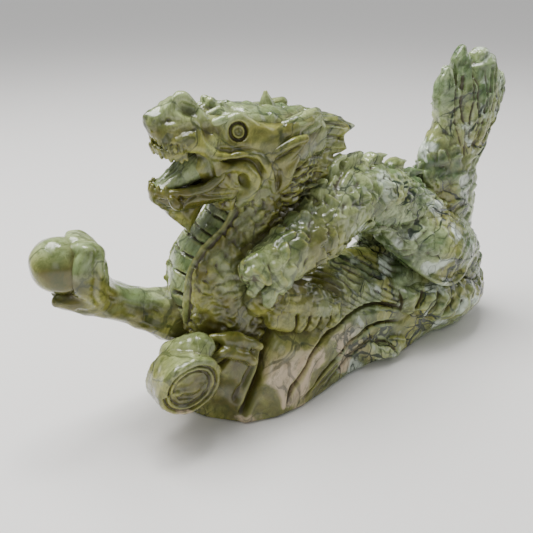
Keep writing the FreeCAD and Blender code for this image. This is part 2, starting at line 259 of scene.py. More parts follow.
class Clay:
    """A block of voxels that holds the distance to a carved surface, negative inside the stone."""

    def __init__(self, low, high, step, mirrored=False):
        self.step = step
        self.mirrored = mirrored
        low = [math.floor(a / LATTICE) * LATTICE for a in low]
        if mirrored:
            low[1] = 0
        self.axes = [
            (a + step * np.arange(math.ceil((b - a) / step) + 1)).astype(np.float32)
            for a, b in zip(low, high)
        ]
        self.field = np.full([len(axis) for axis in self.axes], FAR, np.float32)
        self.pale = lambda x, y, z: 0  # from 0 to 1, how much paler the colour is at each point: the stone's paler parts, and on some pieces painted light on the upper faces

    def window(self, low, high):
        cut = tuple(
            slice(*np.searchsorted(axis, (a, b))) for axis, a, b in zip(self.axes, low, high)
        )
        return cut, *np.ix_(*(axis[c] for axis, c in zip(self.axes, cut)))

    def add(self, shape, blend=1.0):
        margin = blend + 3
        cut, x, y, z = self.window(shape.low - margin, shape.high + margin)
        self.field[cut] = smooth_min(self.field[cut], shape.distance(x, y, z), blend)

    def carve(self, shape, blend=0.6):
        cut, x, y, z = self.window(shape.low - 1, shape.high + 1)
        self.field[cut] = -smooth_min(-self.field[cut], shape.distance(x, y, z), blend)

    def engrave(self, stations, depth, width, reach=7.0, facing=SIDEWAYS):
        """Sinks a groove along a line, seen from `facing`. A negative depth raises a ridge."""
        line = smooth_line(stations)
        way = np.array(facing, float) / np.linalg.norm(facing)
        margin = 2.2 * width + reach * np.abs(way)
        cut, x, y, z = self.window(line[:, :3].min(0) - margin, line[:, :3].max(0) + margin)
        height = x * way[0] + y * way[1] + z * way[2]
        level = line[:, :3] @ way
        flat = line[:, :3] - level[:, None] * way
        squared, place = nearest(flat, *(v - height * w for v, w in zip((x, y, z), way)))
        off_level = np.abs(height - np.interp(place, np.arange(len(level)), level))
        last = len(line) - 1
        ends = np.clip(np.minimum(place, last - place) / (0.12 * last), 0.15, 1)
        sink = depth * ends * np.exp(-squared / width**2) * (off_level < reach)
        self.field[cut] += sink.astype(np.float32)

    def relief(self, raised, band=3.0):
        """Raises the surface by what raised(x, y, z) gives for each voxel near it."""
        near = np.nonzero(np.abs(self.field) < band)
        x, y, z = (axis[n] for axis, n in zip(self.axes, near))
        self.field[near] -= raised(x, y, z)

    def roughen(self, *ripples):
        """Raises and sinks the surface by ripples, each given as its height, size and seed."""
        self.relief(lambda x, y, z: sum(height * ripple(x, y, z, *kind) for height, *kind in ripples))

    def whole(self):
        """The whole field and its lowest corner, with the mirror image added where there is one."""
        low = [axis[0] for axis in self.axes]
        if not self.mirrored:
            return self.field, low
        low[1] = -self.axes[1][-1]
        return np.concatenate([self.field[:, :0:-1], self.field], axis=1), low


def blurred(field, voxels):
    """The field averaged over a cube that reaches so many voxels each way."""
    size = 2 * voxels + 1
    for axis in range(3):
        pad = [(0, 0)] * 3
        pad[axis] = (voxels + 1, voxels)
        total = np.cumsum(np.pad(field, pad, mode="edge"), axis=axis, dtype=np.float64)
        ahead = np.take(total, range(size, total.shape[axis]), axis=axis)
        behind = np.take(total, range(0, total.shape[axis] - size), axis=axis)
        field = ((ahead - behind) / size).astype(np.float32)
    return field


def sample(field, low, step, points):
    """The field's value at each point, linear between voxels."""
    spot = (points - np.array(low)) / step
    cell = np.clip(np.floor(spot).astype(int), 0, np.array(field.shape) - 2)
    share = np.clip(spot - cell, 0, 1)
    value = 0
    for corner in np.ndindex(2, 2, 2):
        weight = np.prod(np.where(corner, share, 1 - share), axis=1)
        value = value + weight * field[tuple((cell + corner).T)]
    return value


# Pieces

def sculpt_pearl():
    low, high = (np.array(corner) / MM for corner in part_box("pearl"))
    radius = (high[2] - low[2]) / 2
    centre = np.array((low[0] + radius, (low[1] + high[1]) / 2, low[2] + radius))
    clay = Clay(low - 4, high + 4, COARSE)
    clay.add(ball(centre, radius - 0.2))
    clay.roughen((0.25, 12, 1))
    # paler towards the top: painted light from above, with the lower half left in painted shade
    clay.pale = lambda x, y, z: 0.7 * np.clip((z - centre[2] - 2) / 8, 0, 1)
    return clay


def sculpt_arm():
    arm = Limb([
        (-52, 5, 42, 14, 16), (-65, 5, 42.5, 12, 13.5), (-76, 5.5, 47, 10, 10), (-86, 6, 53, 8.4, 7.8),
        (-94, 6, 58.5, 8.6, 7.8), (-99, 5.5, 64, 10.5, 7.6), (-102, 5, 72, 12, 7.4),
        (-102.6, 4.5, 79, 12, 7), (-101.8, 4, 83.6, 10, 5),
    ])
    clay = Clay((-122, -14, 18), (-40, 28, 96), FINE)
    clay.add(arm.shape(2.4))
    # the palm swells round the pearl
    clay.add(ball((-104.4, 3, 79), (7.4, 10.6, 10.4)), 4)
    clay.add(ball((-101.4, -3.6, 76), (6, 4.6, 11)), 3)
    for i, y in enumerate((-3.4, 1.8, 6.8, 11.4)):
        reach = (0, 1.2, 1.0, 0)[i]
        finger = [
            (-98, y, 77, 2.4), (-98.6, y * 0.95, 83.4, 2.6), (-100.8 - reach, y * 0.9, 87, 2.5),
            (-104.6 - reach, y * 0.85, 87.6, 2.2),
        ]
        clay.add(strand(finger), 1.6)
    band = [
        (-103, -6.6, 87.4, 2.2), (-105.8, -7.4, 82, 2.4), (-107.4, -6.2, 76, 2.4),
        (-107.6, -4, 70.4, 2.0),
    ]
    clay.add(strand(band), 3)
    # thumb and heel of the hand, under the pearl
    clay.add(strand([
        (-98, 4, 60, 7), (-105, 2, 62.4, 5.6), (-111, 1, 64.6, 4.2), (-115, 0.6, 66.4, 2.8),
    ]), 2)
    clay.add(strand([(-98, 8, 60, 7), (-105, 8, 62.4, 5.4), (-111, 7, 65, 4), (-114, 6.4, 67.4, 2.4)]), 1.6)
    clay.carve(strand([(-120, 1, 71, 1.0), (-113, -3, 68.4, 1.3), (-108, -6.5, 68.6, 0.9)]), 0.8)
    for y in (-0.9, 4.4, 9.2):
        clay.engrave([(-94.6, y, 79), (-96, y, 87), (-101, y, 92)], 0.7, 0.7, 16, (0.5, 0, 1))
    for line in (
        [(-96, -5, 84), (-97.4, -5, 76), (-98, -4, 68), (-94, -3, 62)],
        [(-101, -7, 85), (-102, -8, 77), (-103, -7, 69), (-101, -5, 62)],
        [(-110, -3, 62), (-105, -5, 60.6), (-99, -4, 63)],
    ):
        clay.engrave(line, 0.7, 1.0, 12)
    for line in (
        [(-92, -2, 60), (-84, -4, 55), (-76, -6, 51), (-67, -8, 50)],
        [(-90, -2, 52), (-82, -5, 46), (-73, -7, 42)],
        [(-80, -6, 56), (-76, -6, 50), (-70, -8, 46)],
    ):
        clay.engrave(line, 0.6, 1.1, 12)
    clay.roughen((0.3, 13, 2), (0.15, 5, 22))
    # paler on the upper faces of the hand and forearm: painted light from above
    clay.pale = lambda x, y, z: 0.7 * np.clip((z - np.interp(x, (-100, -88, -70), (76, 54, 49))) / 6, 0, 1)
    return clay


NECK = Limb([
    (-40, 0, 14, 22, 25), (-43.5, 0, 36, 21, 24), (-48, 0, 55, 19.5, 20), (-46.5, 0, 66, 18.5, 18.5),
    (-37.5, 0, 78.5, 17, 13.6), (-30, 0, 91, 16, 14), (-25, 0, 106, 15, 14.5),
])
BELLY_HALF = 9.6


def sculpt_neck():
    clay = Clay((-78, -26, 8), (2, 26, 120), COARSE)
    clay.add(NECK.shape())
    clay.add(Limb([(-34, 0, 74, 14, 15), (-20, -4, 79, 12, 12), (-8, -9, 80, 9, 9)]).shape(), 3)

    def carving(x, y, z):
        s, u, v, _, a, b = NECK.locate(x, y, z)
        wave, drift = ripple(x, y, z, 13, 3), ripple(x, y, z, 11, 4)
        front = (v > 0) & (z > 44)
        half = BELLY_HALF - 0.10 * np.clip(62 - z, 0, 20)
        off = np.abs(u + 0.3 * wave)
        belly = front & (off < half)
        slot = np.clip(1 - np.abs((s / 4.3 + 0.05 * drift) % 1 - 0.5) * 8, 0, 1)
        cut = np.clip((off - 0.6) / 1.5, 0, 1) * np.clip((half - 0.6 - off) / 1.0, 0, 1)
        plates = 0.8 + 0.25 * wave - 2.8 * slot * cut * np.clip((94 - z) / 5, 0, 1)
        edge = off - half
        rim = (0.9 * np.exp(-((edge / 0.7) ** 2)) - 1.2 * np.exp(-(((edge - 1.4) / 0.6) ** 2))) * front
        around = np.arctan2(u / a, -v / b) * 0.5 * (a + b)
        s, around = s + 1.6 * wave, around + 1.2 * drift
        rough = scale_height(s, around, 4.6, 6.6, 2.4) - 0.8
        rough = rough * np.clip(0.8 + 0.5 * ripple(x, y, z, 21, 23), 0.2, 1.2)
        rough = rough + 0.35 * ripple(x, y, z, 5, 24)
        return np.where(belly, plates, rough) + rim

    def pale(x, y, z):
        _, u, v, _, _, _ = NECK.locate(x, y, z)
        return fade(BELLY_HALF + 1 - np.abs(u), 0, 2, 0.8) * fade(v, 0, 3) * fade(z, 44, 6)

    clay.relief(carving)
    clay.pale = pale
    return clay


EYE = (-42.5, 15.2, 125.8)  # on the right flank
EYE_FACING = (-0.26, 0.94, 0.22)
EYE_RADIUS, EYE_RING, PUPIL_RING = 2.6, 3.2, 1.4
LIP_RIBS, RIB_STEP = 7, 13  # the step is in degrees; the upper teeth stand between the ribs


def sculpt_head():
    clay = Clay((-80, -24, 92), (2, 24, 144), FINE)
    skull = [
        (-50, 0, 122.5, 10.5, 8), (-44, 0, 121.5, 14.5, 10), (-36, 0, 119.5, 17, 11),
        (-26, 0, 117, 18, 11.5), (-14, 0, 116, 17, 12), (-4, 0, 116.5, 13, 10.5),
    ]
    clay.add(Limb(skull).shape(2.8))
    cheek = [(-52, 0, 112, 11, 7), (-44, 0, 108, 15, 10), (-34, 0, 106, 17, 11), (-22, 0, 107, 16, 10)]
    clay.add(Limb(cheek).shape(2.4), 3)
    # the muzzle: pinched in front of the eyes, then flared to a lip that curls down
    muzzle = [
        (-46, 0, 123.5, 12, 9.5), (-53, 0, 125, 9.6, 8.6), (-60, 0, 126.6, 11, 8),
        (-66, 0, 127.6, 8.6, 6), (-70.4, 0, 129.6, 4.4, 3.6),
    ]
    clay.add(Limb(muzzle).shape(2.4), 3)
    clay.add(strand([
        (-58, 0, 132, 6), (-65, 0, 132.6, 3.6), (-70, 0, 132.2, 2.2), (-73.2, 0, 132, 1.1),
    ]), 2.4)
    for side in (-1, 1):
        lip = [
            (-70.2, 0, 126, 1.8), (-68.6, 4.5, 122.8, 2.1), (-65.6, 8, 120.8, 2.5), (-61, 9.6, 122, 2.8),
            (-56, 11, 120.6, 2.4), (-51.5, 12.6, 116, 2.4), (-50.5, 13, 110.5, 2.0),
        ]
        clay.add(strand(flank(side, lip)), 2.5)
        clay.add(ball((-61, side * 8.4, 125), (5.6, 4, 3.8), (0, -12, 0)), 1.5)
        # the nostril's wing, a rim that rises over the hollow; the right one is carved lower
        low = 0 if side < 0 else 3.4
        wing = [
            (-67.4, 3.6, 132.4, 1.8), (-64, 4.0, 135.6 - 0.8 * low, 2.3), (-61, 4.4, 138.6 - low, 2.4),
            (-58, 5.2, 136.6 - low, 2.2), (-55.2, 6.8, 133.0 - 0.5 * low, 2.0), (-53.6, 8.8, 130, 1.8),
        ]
        clay.add(strand(flank(side, wing)), 1.8)
        clay.add(ball((-60.6, side * 5.4, 131.8), (5.6, 4, 4.4)), 2)
        clay.carve(ball((-59.8, side * 9.0, 134.4), (4.6, 4.0, 2.4), (side * -25, 16, 0)), 1.3)
        # brow: the edge of the flat crown, which dips behind the eye and rises into the horn
        brow = [
            (-50, 8.5, 129, 1.6), (-46.4, 11, 128.8, 1.8), (-43.6, 12.4, 129.8, 2.2),
            (-40, 13.2, 130, 2.4), (-36.8, 13.8, 128, 2.2), (-32, 14.6, 124.6, 2.0),
            (-25, 15, 123.4, 2.2), (-16, 14.6, 124, 2.6), (-9, 14, 126, 2.8),
        ]
        clay.add(strand(flank(side, brow)), 1.8)
        clay.add(ball((-42.4, side * 11.6, 124.6), (6.4, 4.2, 6)), 2)
        clay.add(ball((-48.4, side * 10.4, 120.6), (6.4, 4.2, 4.6), (0, 20, 0)), 3)
        clay.add(ball((-38, side * 12.6, 120.6), (10, 4.6, 4)), 3)
        clay.engrave(flank(side, [(-50, 11, 126.5), (-47.4, 12, 123), (-43, 14, 120.6)]), 0.3, 1.2)

        # eye: a flat disc in a deep ring
        axis = np.array(flank(side, [EYE_FACING])[0])
        centre = flank(side, [EYE])[0]
        right = np.cross(axis, (0, 0, 1))
        right /= np.linalg.norm(right)
        top = np.cross(right, axis)

        def eye(x, y, z):
            gap = (x - centre[0], y - centre[1], z - centre[2])
            out = sum(g * a for g, a in zip(gap, axis))
            u = sum(g * a for g, a in zip(gap, right))
            v = sum(g * a for g, a in zip(gap, top))
            away = np.sqrt(u**2 + v**2)
            ring = 1.7 * np.exp(-(((away - EYE_RING) / 0.65) ** 4))
            disc = 0.1 * (away < EYE_RADIUS) - 0.6 * np.exp(-(((away - PUPIL_RING) / 0.4) ** 2))
            return (disc - ring) * (np.abs(out) < 5)

        clay.relief(eye)
        # the cord from the nostril past the mouth's corner and down the cheek
        cord = [
            (-57, 9.6, 128.6, 1.0), (-56, 11.2, 123.8, 1.3), (-54.6, 12.8, 120.4, 1.4),
            (-52.2, 14.8, 117.6, 1.5), (-46.5, 16.6, 117.2, 1.4), (-40, 17.4, 117.4, 1.4),
            (-34.8, 17.6, 115.2, 1.6), (-31, 17.4, 110.2, 1.5), (-28.8, 17, 105, 1.4),
            (-27, 16, 99.4, 1.2),
        ]
        clay.add(strand(flank(side, cord)), 1.2)
        under = [(-51, 14.2, 115.6), (-45, 16, 115), (-39, 17, 114.4), (-35.4, 17, 111.5), (-33, 17, 105)]
        clay.engrave(flank(side, under), 1.1, 0.8)
        over = [
            (-54.6, 11, 124), (-51.5, 13.4, 120.2), (-46, 16, 119.6), (-40, 17, 119.7),
            (-33.6, 17.4, 117.6),
        ]
        clay.engrave(flank(side, over), 0.35, 0.7)
        # the cheek's curl, and the small hole that it turns round
        curl = [
            (-47, 13.8, 112, 1.6), (-41.5, 15.8, 111.6, 2.2), (-37.6, 16.6, 108, 2.6),
            (-37.6, 16.2, 103, 3.2), (-39.8, 15.2, 99.4, 3.0), (-42, 14, 96.6, 2.2),
        ]
        clay.add(strand(flank(side, curl)), 3)
        clay.carve(ball((-41.4, side * 18, 106.6), (1.9, 4.6, 3.1), (0, -12, 0)), 0.9)
        # strokes on the cheek, then folds over the lip
        for line, depth, width in (
            ([(-46.5, 15, 110.5), (-45, 15.6, 106), (-42.6, 16.4, 103)], 0.9, 0.9),
            ([(-49, 14, 111), (-48.8, 14, 106), (-46, 14.6, 102.5)], 0.6, 1.0),
            ([(-50, 13, 101.6), (-45, 14.6, 101.2), (-42, 15.6, 101.8)], 0.8, 0.8),
            ([(-68, 7, 127), (-63.6, 9, 128.4), (-59, 10.6, 130)], 0.6, 0.9),
            ([(-66.6, 8, 125.2), (-61.8, 10, 127.6), (-57.6, 10.4, 127.8)], 0.9, 1.0),
            ([(-69.6, 5, 130.4), (-66, 7, 131), (-62.4, 8.8, 131.4)], 0.6, 1.0),
        ):
            clay.engrave(flank(side, line), depth, width)
        # ribs that run down the lip as teeth
        for i in range(LIP_RIBS):
            angle = math.radians(6 + RIB_STEP * i)
            x, y = -62.4 - 9 * math.cos(angle), side * 9.6 * math.sin(angle)
            rib = [(x, y, 125.6 - 2.4 * math.sin(angle)), (x + 0.4, y, 121), (x + 1, y, 116.5)]
            clay.engrave(rib, 0.9, 0.55, 3, (-math.cos(angle), side * math.sin(angle), 0))
    clay.carve(ball((-60, 0, 114.6), (13, 7.4, 5.6), (0, 14, 0)), 1.5)
    clay.roughen((0.2, 9, 5), (0.12, 4, 15))
    # paler towards the crown and the top of the snout: partly the stone's own colour, partly painted light
    # from above
    clay.pale = lambda x, y, z: fade(z, 127, 7, 0.7)
    return clay


def sculpt_teeth():
    clay = Clay((-78, 0, 110), (-54, 16, 130), FINE, mirrored=True)
    for i in range(LIP_RIBS):
        angle = math.radians(12.5 + RIB_STEP * i)
        x, y = -62.6 - 8.6 * math.cos(angle), 9 * math.sin(angle)
        z = 121.6 - 2.6 * math.sin(angle)
        clay.add(strand([(x, y, z, 1.2), (x + 0.8, y, z - 2.6 - 0.7 * (i % 2), 0.8)], 2), 0.5)
    return clay


def sculpt_crest():
    clay = Clay((-54, 0, 116), (6, 20, 142), FINE, mirrored=True)
    crown = [
        (-49, 0, 126, 9, 7), (-40, 0, 125.4, 12.6, 7.8), (-28, 0, 123.6, 14, 8.4), (-14, 0, 121, 13.4, 8),
        (-4, 0, 119, 10, 7),
    ]
    clay.add(Limb(crown).shape(2.6))
    rng = np.random.default_rng(31)
    for row in range(5):
        for i in range(6):
            y = 1.2 + 2.5 * row + rng.uniform(-0.4, 0.4)
            x = -49 + 8 * i + 3.4 * (row % 2)
            top = 133.4 - 0.16 * (x + 45) - 0.03 * y * y
            lock = [
                (x - 1, y * 0.9, top - 1.4, 1.5), (x + 3, y + rng.uniform(-0.8, 0.8), top - 0.7, 1.9),
                (x + 7.6, y + rng.uniform(-0.8, 0.8), top - 1.2, 1.1),
            ]
            clay.add(strand(lock, 4), 0.7)
    for x, y, z in ((-47.4, 2.2, 135.4), (-44, 4, 134.6), (-30, 1, 131.6), (-36, 7, 132)):
        clay.add(strand([(x + 1.6, y, z - 3.6, 3), (x + 0.4, y, z - 0.8, 2.1)], 4), 1.2)
    clay.relief(lambda x, y, z: 0.35 * ripple(x, y, z, 6, 12) * (z > 122))
    # paler towards the top: partly the stone's own colour, partly painted light from above
    clay.pale = lambda x, y, z: fade(z, 125, 5, 0.75)
    return clay


def sculpt_crest_horn():
    clay = Clay((-30, -6, 124), (-12, 6, 140), FINE)
    horn = [(-20.4, 0, 128, 4.6), (-20.4, 0, 130.6, 3.6), (-20.8, 0, 133.4, 2.2), (-21, 0, 135.6, 1.0)]
    clay.add(strand(horn))
    clay.pale = lambda x, y, z: 0.6
    return clay


def side_clay(side, low, high, step):
    """A block on one flank, given as if it were on the right one."""
    near, far = (low[1], high[1]) if side > 0 else (-high[1], -low[1])
    return Clay((low[0], near, low[2]), (high[0], far, high[2]), step)


def flank(side, stations):
    """Stations moved to one flank, given as if they were on the right one."""
    return [(x, side * y, *rest) for x, y, *rest in stations]


def sculpt_horn(side):
    clay = side_clay(side, (-30, 4, 114), (6, 22, 136), FINE)
    horn = [
        (-20, 13.4, 124, 3.2), (-14, 13.6, 125, 3.6), (-8.6, 13.2, 126.6, 3.3), (-4.6, 12.6, 127.6, 2.6),
    ]
    clay.add(strand(flank(side, horn)))
    clay.add(strand(flank(side, [
        (-13, 13.6, 122, 3.4), (-6, 13.4, 123.6, 3.0), (-3.6, 13.2, 124.4, 1.8),
    ])), 1)
    for lift in (-0.8, 2.2):
        line = [(-20, 17, 123.5 + lift), (-12, 17, 124.6 + lift), (-5, 17, 126.2 + lift)]
        clay.engrave(flank(side, line), 0.6, 0.6)
    clay.pale = lambda x, y, z: 0.45
    return clay


def sculpt_ear(side):
    clay = side_clay(side, (-38, 8, 94), (-6, 26, 126), FINE)
    rim = [(-31, 16, 113.4, 1.4), (-26, 17.4, 116.4, 1.8), (-20, 18.6, 119, 2.0), (-14, 19, 120, 1.7)]
    leaf = [
        (-28, 16, 110.6, 1.6), (-22.6, 17, 113, 2.4), (-17.6, 17.8, 116.2, 2.0),
        (-14.6, 18.4, 118.4, 1.2),
    ]
    lobe = [(-17, 16, 112, 2.0), (-20.4, 16.6, 107.6, 2.8), (-21.6, 16, 102.6, 2.6), (-23.4, 15, 99, 1.6)]
    clay.add(strand(flank(side, rim)), 0.6)
    clay.add(strand(flank(side, leaf)), 0.8)
    clay.add(strand(flank(side, lobe)), 1.2)
    clay.add(ball((-22, side * 13.6, 111), (10, 4.6, 8), (0, -30, 0)), 2)
    clay.add(Limb(flank(side, [
        (-29, 15, 111.6, 2.4, 2.4), (-22, 16.4, 115.4, 2.4, 3), (-15.6, 17.4, 118.6, 1.8, 2),
    ])).shape(), 1)
    clay.engrave(flank(side, [(-28, 18, 112.6), (-22, 19, 115.6), (-16, 19.6, 118.4)]), 0.8, 0.6)
    clay.engrave(flank(side, [(-25.4, 17, 109), (-25, 17, 104.6), (-26, 16, 100)]), 0.8, 0.8)
    return clay


def sculpt_jaw():
    clay = Clay((-80, 0, 78), (-20, 22, 118), FINE, mirrored=True)
    jaw = [
        (-26, 0, 104, 15, 8), (-38, 0, 102, 15, 7), (-50, 0, 101, 12.2, 5.8), (-60, 0, 100.4, 9.8, 4.8),
        (-67, 0, 100.2, 7.4, 4.2), (-71, 0, 101, 4.2, 3.4),
    ]
    clay.add(Limb(jaw).shape(2.3))
    lip = [
        (-73, 0, 103.4, 1.7), (-71, 4.6, 103, 1.9), (-66.5, 8.2, 103.2, 2.0), (-60.5, 10, 103.6, 1.8),
        (-54.5, 11.8, 105, 1.8), (-50, 13, 108.4, 1.7), (-48.8, 13.4, 111, 1.5),
    ]
    clay.add(strand(lip), 1.4)
    clay.carve(ball((-60, 0, 107.4), (14, 6.8, 4.2)), 1.2)
    for x, y in ((-73, 1.2), (-72, 3.8), (-69.8, 6.2)):
        clay.add(strand([(x, y, 103.8, 1.4), (x - 0.1, y, 105.8, 0.9)], 2), 0.6)
    tusk = [(-65.4, 9, 97.6, 1.8), (-67.8, 9.8, 99.4, 2.2), (-69, 9.6, 101.8, 1.5)]
    clay.add(strand(tusk), 0.6)
    clay.engrave([(-64, 10, 97.6), (-64.4, 10, 100.8), (-66.8, 10, 103.4)], 1.0, 0.7)
    clay.engrave([
        (-72, 5, 99), (-69, 8, 96.8), (-65, 10, 97), (-61.4, 11, 100.6), (-57.5, 12, 102.2),
    ], 1.0, 0.7)
    clay.engrave([(-57.5, 12, 102.2), (-53.8, 13, 100.8), (-49, 14, 100.4), (-44, 15, 100.2)], 0.8, 0.7)
    clay.engrave([(-60, 11, 97), (-55, 12, 97.6), (-48, 14, 97)], 0.4, 0.8)
    beard = [
        (-71.6, 99), (-71, 96.6), (-67, 91.6), (-62.4, 86.4), (-59.4, 82.8), (-57, 86.4), (-53.4, 92.2),
        (-49, 97), (-52, 102),
    ]
    clay.add(plate(beard, 0, 2.4, 1.2, 3.4), 2.5)
    clay.engrave([(-68, 3, 95), (-63, 3, 89), (-59.6, 3, 84)], 0.5, 0.8)
    clay.roughen((0.16, 9, 6), (0.1, 4, 16))
    return clay


def sculpt_tongue():
    clay = Clay((-76, 0, 96), (-34, 14, 124), FINE, mirrored=True)
    tongue = [
        (-36, 0, 112, 9, 7), (-47, 0, 112.6, 10.4, 7), (-55, 0, 111, 9.4, 5.6), (-61, 0, 107.6, 7.8, 3.8),
        (-70, 0, 104.2, 4.8, 1.8),
    ]
    clay.add(Limb(tongue).shape())
    clay.engrave([(-44, 0, 118), (-52, 0, 115), (-60, 0, 110), (-69, 0, 106)], 1.0, 0.9, 8, UPWARD)
    for y in (2.4, 4.6):
        clay.engrave([(-44, y, 116), (-53, y, 113), (-66, y * 0.7, 107)], 0.5, 0.6, 8, UPWARD)
    clay.roughen((0.3, 8, 61), (0.15, 4, 62))
    clay.pale = lambda x, y, z: 0.8 * np.clip((-38 - x) / 14, 0, 1)
    return clay


def sculpt_mane():
    clay = Clay((-50, 0, 78), (28, 24, 130), FINE, mirrored=True)
    core = [(-34, 0, 103, 15, 15), (-20, 0, 103, 16, 19), (-6, 0, 108, 13, 16), (4, 0, 113, 8, 9)]
    clay.add(Limb(core).shape())
    # broad tufts that fly back from the head, flat on their flanks and forked at the end
    tufts = (
        (((-4, 118), (2, 124), (8, 123.4), (14.6, 122.4), (22.6, 117.6),
          (19, 115.6), (16, 113.4), (8, 110), (0, 108)), 3.0, 3.4),
        (((0, 112), (10, 113), (16.4, 113.4), (18, 108), (14, 106.6), (8, 106.4), (2, 103)), 4.0, 3.2),
        (((-6, 106), (4, 107), (11, 105), (9, 101), (13, 97.6), (7, 96), (0, 96)), 6.0, 3.4),
        (((-8, 98), (2, 98), (9, 94.6), (3, 92), (5, 87.6), (-2, 88.6), (-8, 92)), 8.0, 3.6),
    )
    for outline, y, fat in tufts:
        clay.add(plate(outline, y, fat, 1.6, 2.2), 1.4)
    for line in (
        [(0, 8, 121), (8, 8, 120.6), (19, 7, 117.4)],
        [(0, 8, 116), (8, 8, 115.4), (15, 7, 113)],
        [(2, 8, 110), (9, 8, 109.6), (16, 8, 108)],
        [(-4, 10, 103), (3, 10, 103), (9, 10, 101)],
        [(-4, 12, 95), (2, 12, 95), (7, 12, 94)],
    ):
        clay.engrave(line, 1.0, 0.7, 9)
    # strands behind the ear
    for i in range(7):
        z = 113 - 3.6 * i
        clay.engrave([(-14, 14, z), (-6, 13, z - 0.6 + 0.5 * (i % 2)), (3, 11, z - 2)], 0.8, 0.6, 9)
    # under the cheek and the ear the mane lies flat, cut with short strokes that fan out down the neck
    clay.add(ball((-33, 0, 97), (16, 16.4, 13), (0, 20, 0)), 3)
    clay.add(ball((-20, 0, 96), (15, 15.6, 14), (0, 20, 0)), 3)
    rng = np.random.default_rng(20)
    for ring in range(4):
        for i in range(11):
            angle = math.radians(-150 + 12.5 * i + 6 * (ring % 2)) + rng.uniform(-0.05, 0.05)
            start = 13 + 4.2 * ring + rng.uniform(-0.8, 0.8)
            stroke = []
            for t in (0, 0.5, 1):
                reach, bent = start + 5.6 * t, angle + 0.25 * t
                stroke.append((-31 + reach * math.cos(bent), 14.5, 110 + reach * math.sin(bent)))
            clay.engrave(stroke, 1.5, 0.7, 9)
    clay.roughen((0.25, 6, 21))
    return clay


BODY = Limb([
    (-42, -25, 70, 5, 6), (-36, -24, 71, 8.5, 8.5), (-21, -20, 73, 12, 12), (-4, -15.5, 76.5, 13.5, 13.5),
    (8, -11.5, 81.5, 14, 15), (18, -8, 84, 14, 16.5), (30, -6, 82.5, 14.5, 16), (46, -5, 77, 15, 15.5),
    (60, -5, 69, 16, 15.2), (74, -6, 57.5, 18, 15.5), (86, -6, 46, 19, 18), (94, -6, 33, 20, 18),
    (96, -6, 24, 19, 18),
])


BOSSES = 34  # on the body, each with a gouge below it


def sculpt_body():
    clay = Clay((-50, -46, 4), (122, 20, 104), COARSE)
    clay.add(BODY.shape())
    # three blunt toes at the end of the raised fore limb
    for toe in (
        [(-37, -26, 75, 4.6), (-43, -28, 76, 3.6), (-48, -29.6, 72.4, 1.5)],
        [(-37, -28, 70, 4.8), (-42.6, -30, 70, 3.6), (-47, -31.6, 65.4, 1.4)],
        [(-33, -29, 65.6, 4.6), (-37.6, -31.4, 64, 3.4), (-40.4, -32.6, 58.8, 1.4)],
    ):
        clay.add(strand(toe), 1.2)

    def carving(x, y, z):
        s, u, v, _, a, b = BODY.locate(x, y, z)
        wave, drift = ripple(x, y, z, 14, 7), ripple(x, y, z, 12, 8)
        around = np.arctan2(u / a, v / b) * 0.5 * (a + b) + 1.7 * drift
        s = s + 2.0 * wave
        rough = scale_height(s, around, 6.2, 8.6, 3.3) - 1.1
        worn = np.clip(0.9 + 0.45 * ripple(x, y, z, 24, 9), 0.3, 1.25)
        pits = np.clip(ripple(x, y, z, 7, 25) - 0.75, 0, 1)
        return rough * worn + 0.25 * ripple(x, y, z, 6, 10) - 1.0 * pits

    clay.relief(carving, 4.5)
    # bosses and gouges where the scales are broken
    rng = np.random.default_rng(26)
    for _ in range(BOSSES):
        t = rng.uniform(0.05, 0.86)
        spot = BODY.line[int(t * (len(BODY.line) - 1))]
        angle = math.radians(rng.uniform(15, 125))
        reach = spot[4] * math.cos(angle), -spot[3] * math.sin(angle)
        at = np.array([spot[0] - 0.3 * reach[0] * (0.5 - t), spot[1] + reach[1], spot[2] + reach[0]])
        size = rng.uniform(1.7, 2.6)
        lean = np.array([rng.uniform(2.5, 4.5), 0, rng.uniform(-3, 1)])
        clay.add(strand([(*(at - 0.5 * lean), size), (*(at + 0.5 * lean), size * 0.6)], 3), 0.7)
        side = np.array([0, -0.4, 1.0]) * rng.uniform(2.2, 3.2)
        clay.carve(strand([
            (*(at - lean - side), 0.9), (*(at - side), 1.6), (*(at + lean - side), 0.7),
        ], 3), 0.6)
    # paler at the front end, the stone's own colour, and towards the top of the arch, painted light from
    # above
    clay.pale = lambda x, y, z: np.minimum(fade(-x, 14, 16, 0.6) + fade(z, 80, 12, 0.5), 0.7)
    return clay


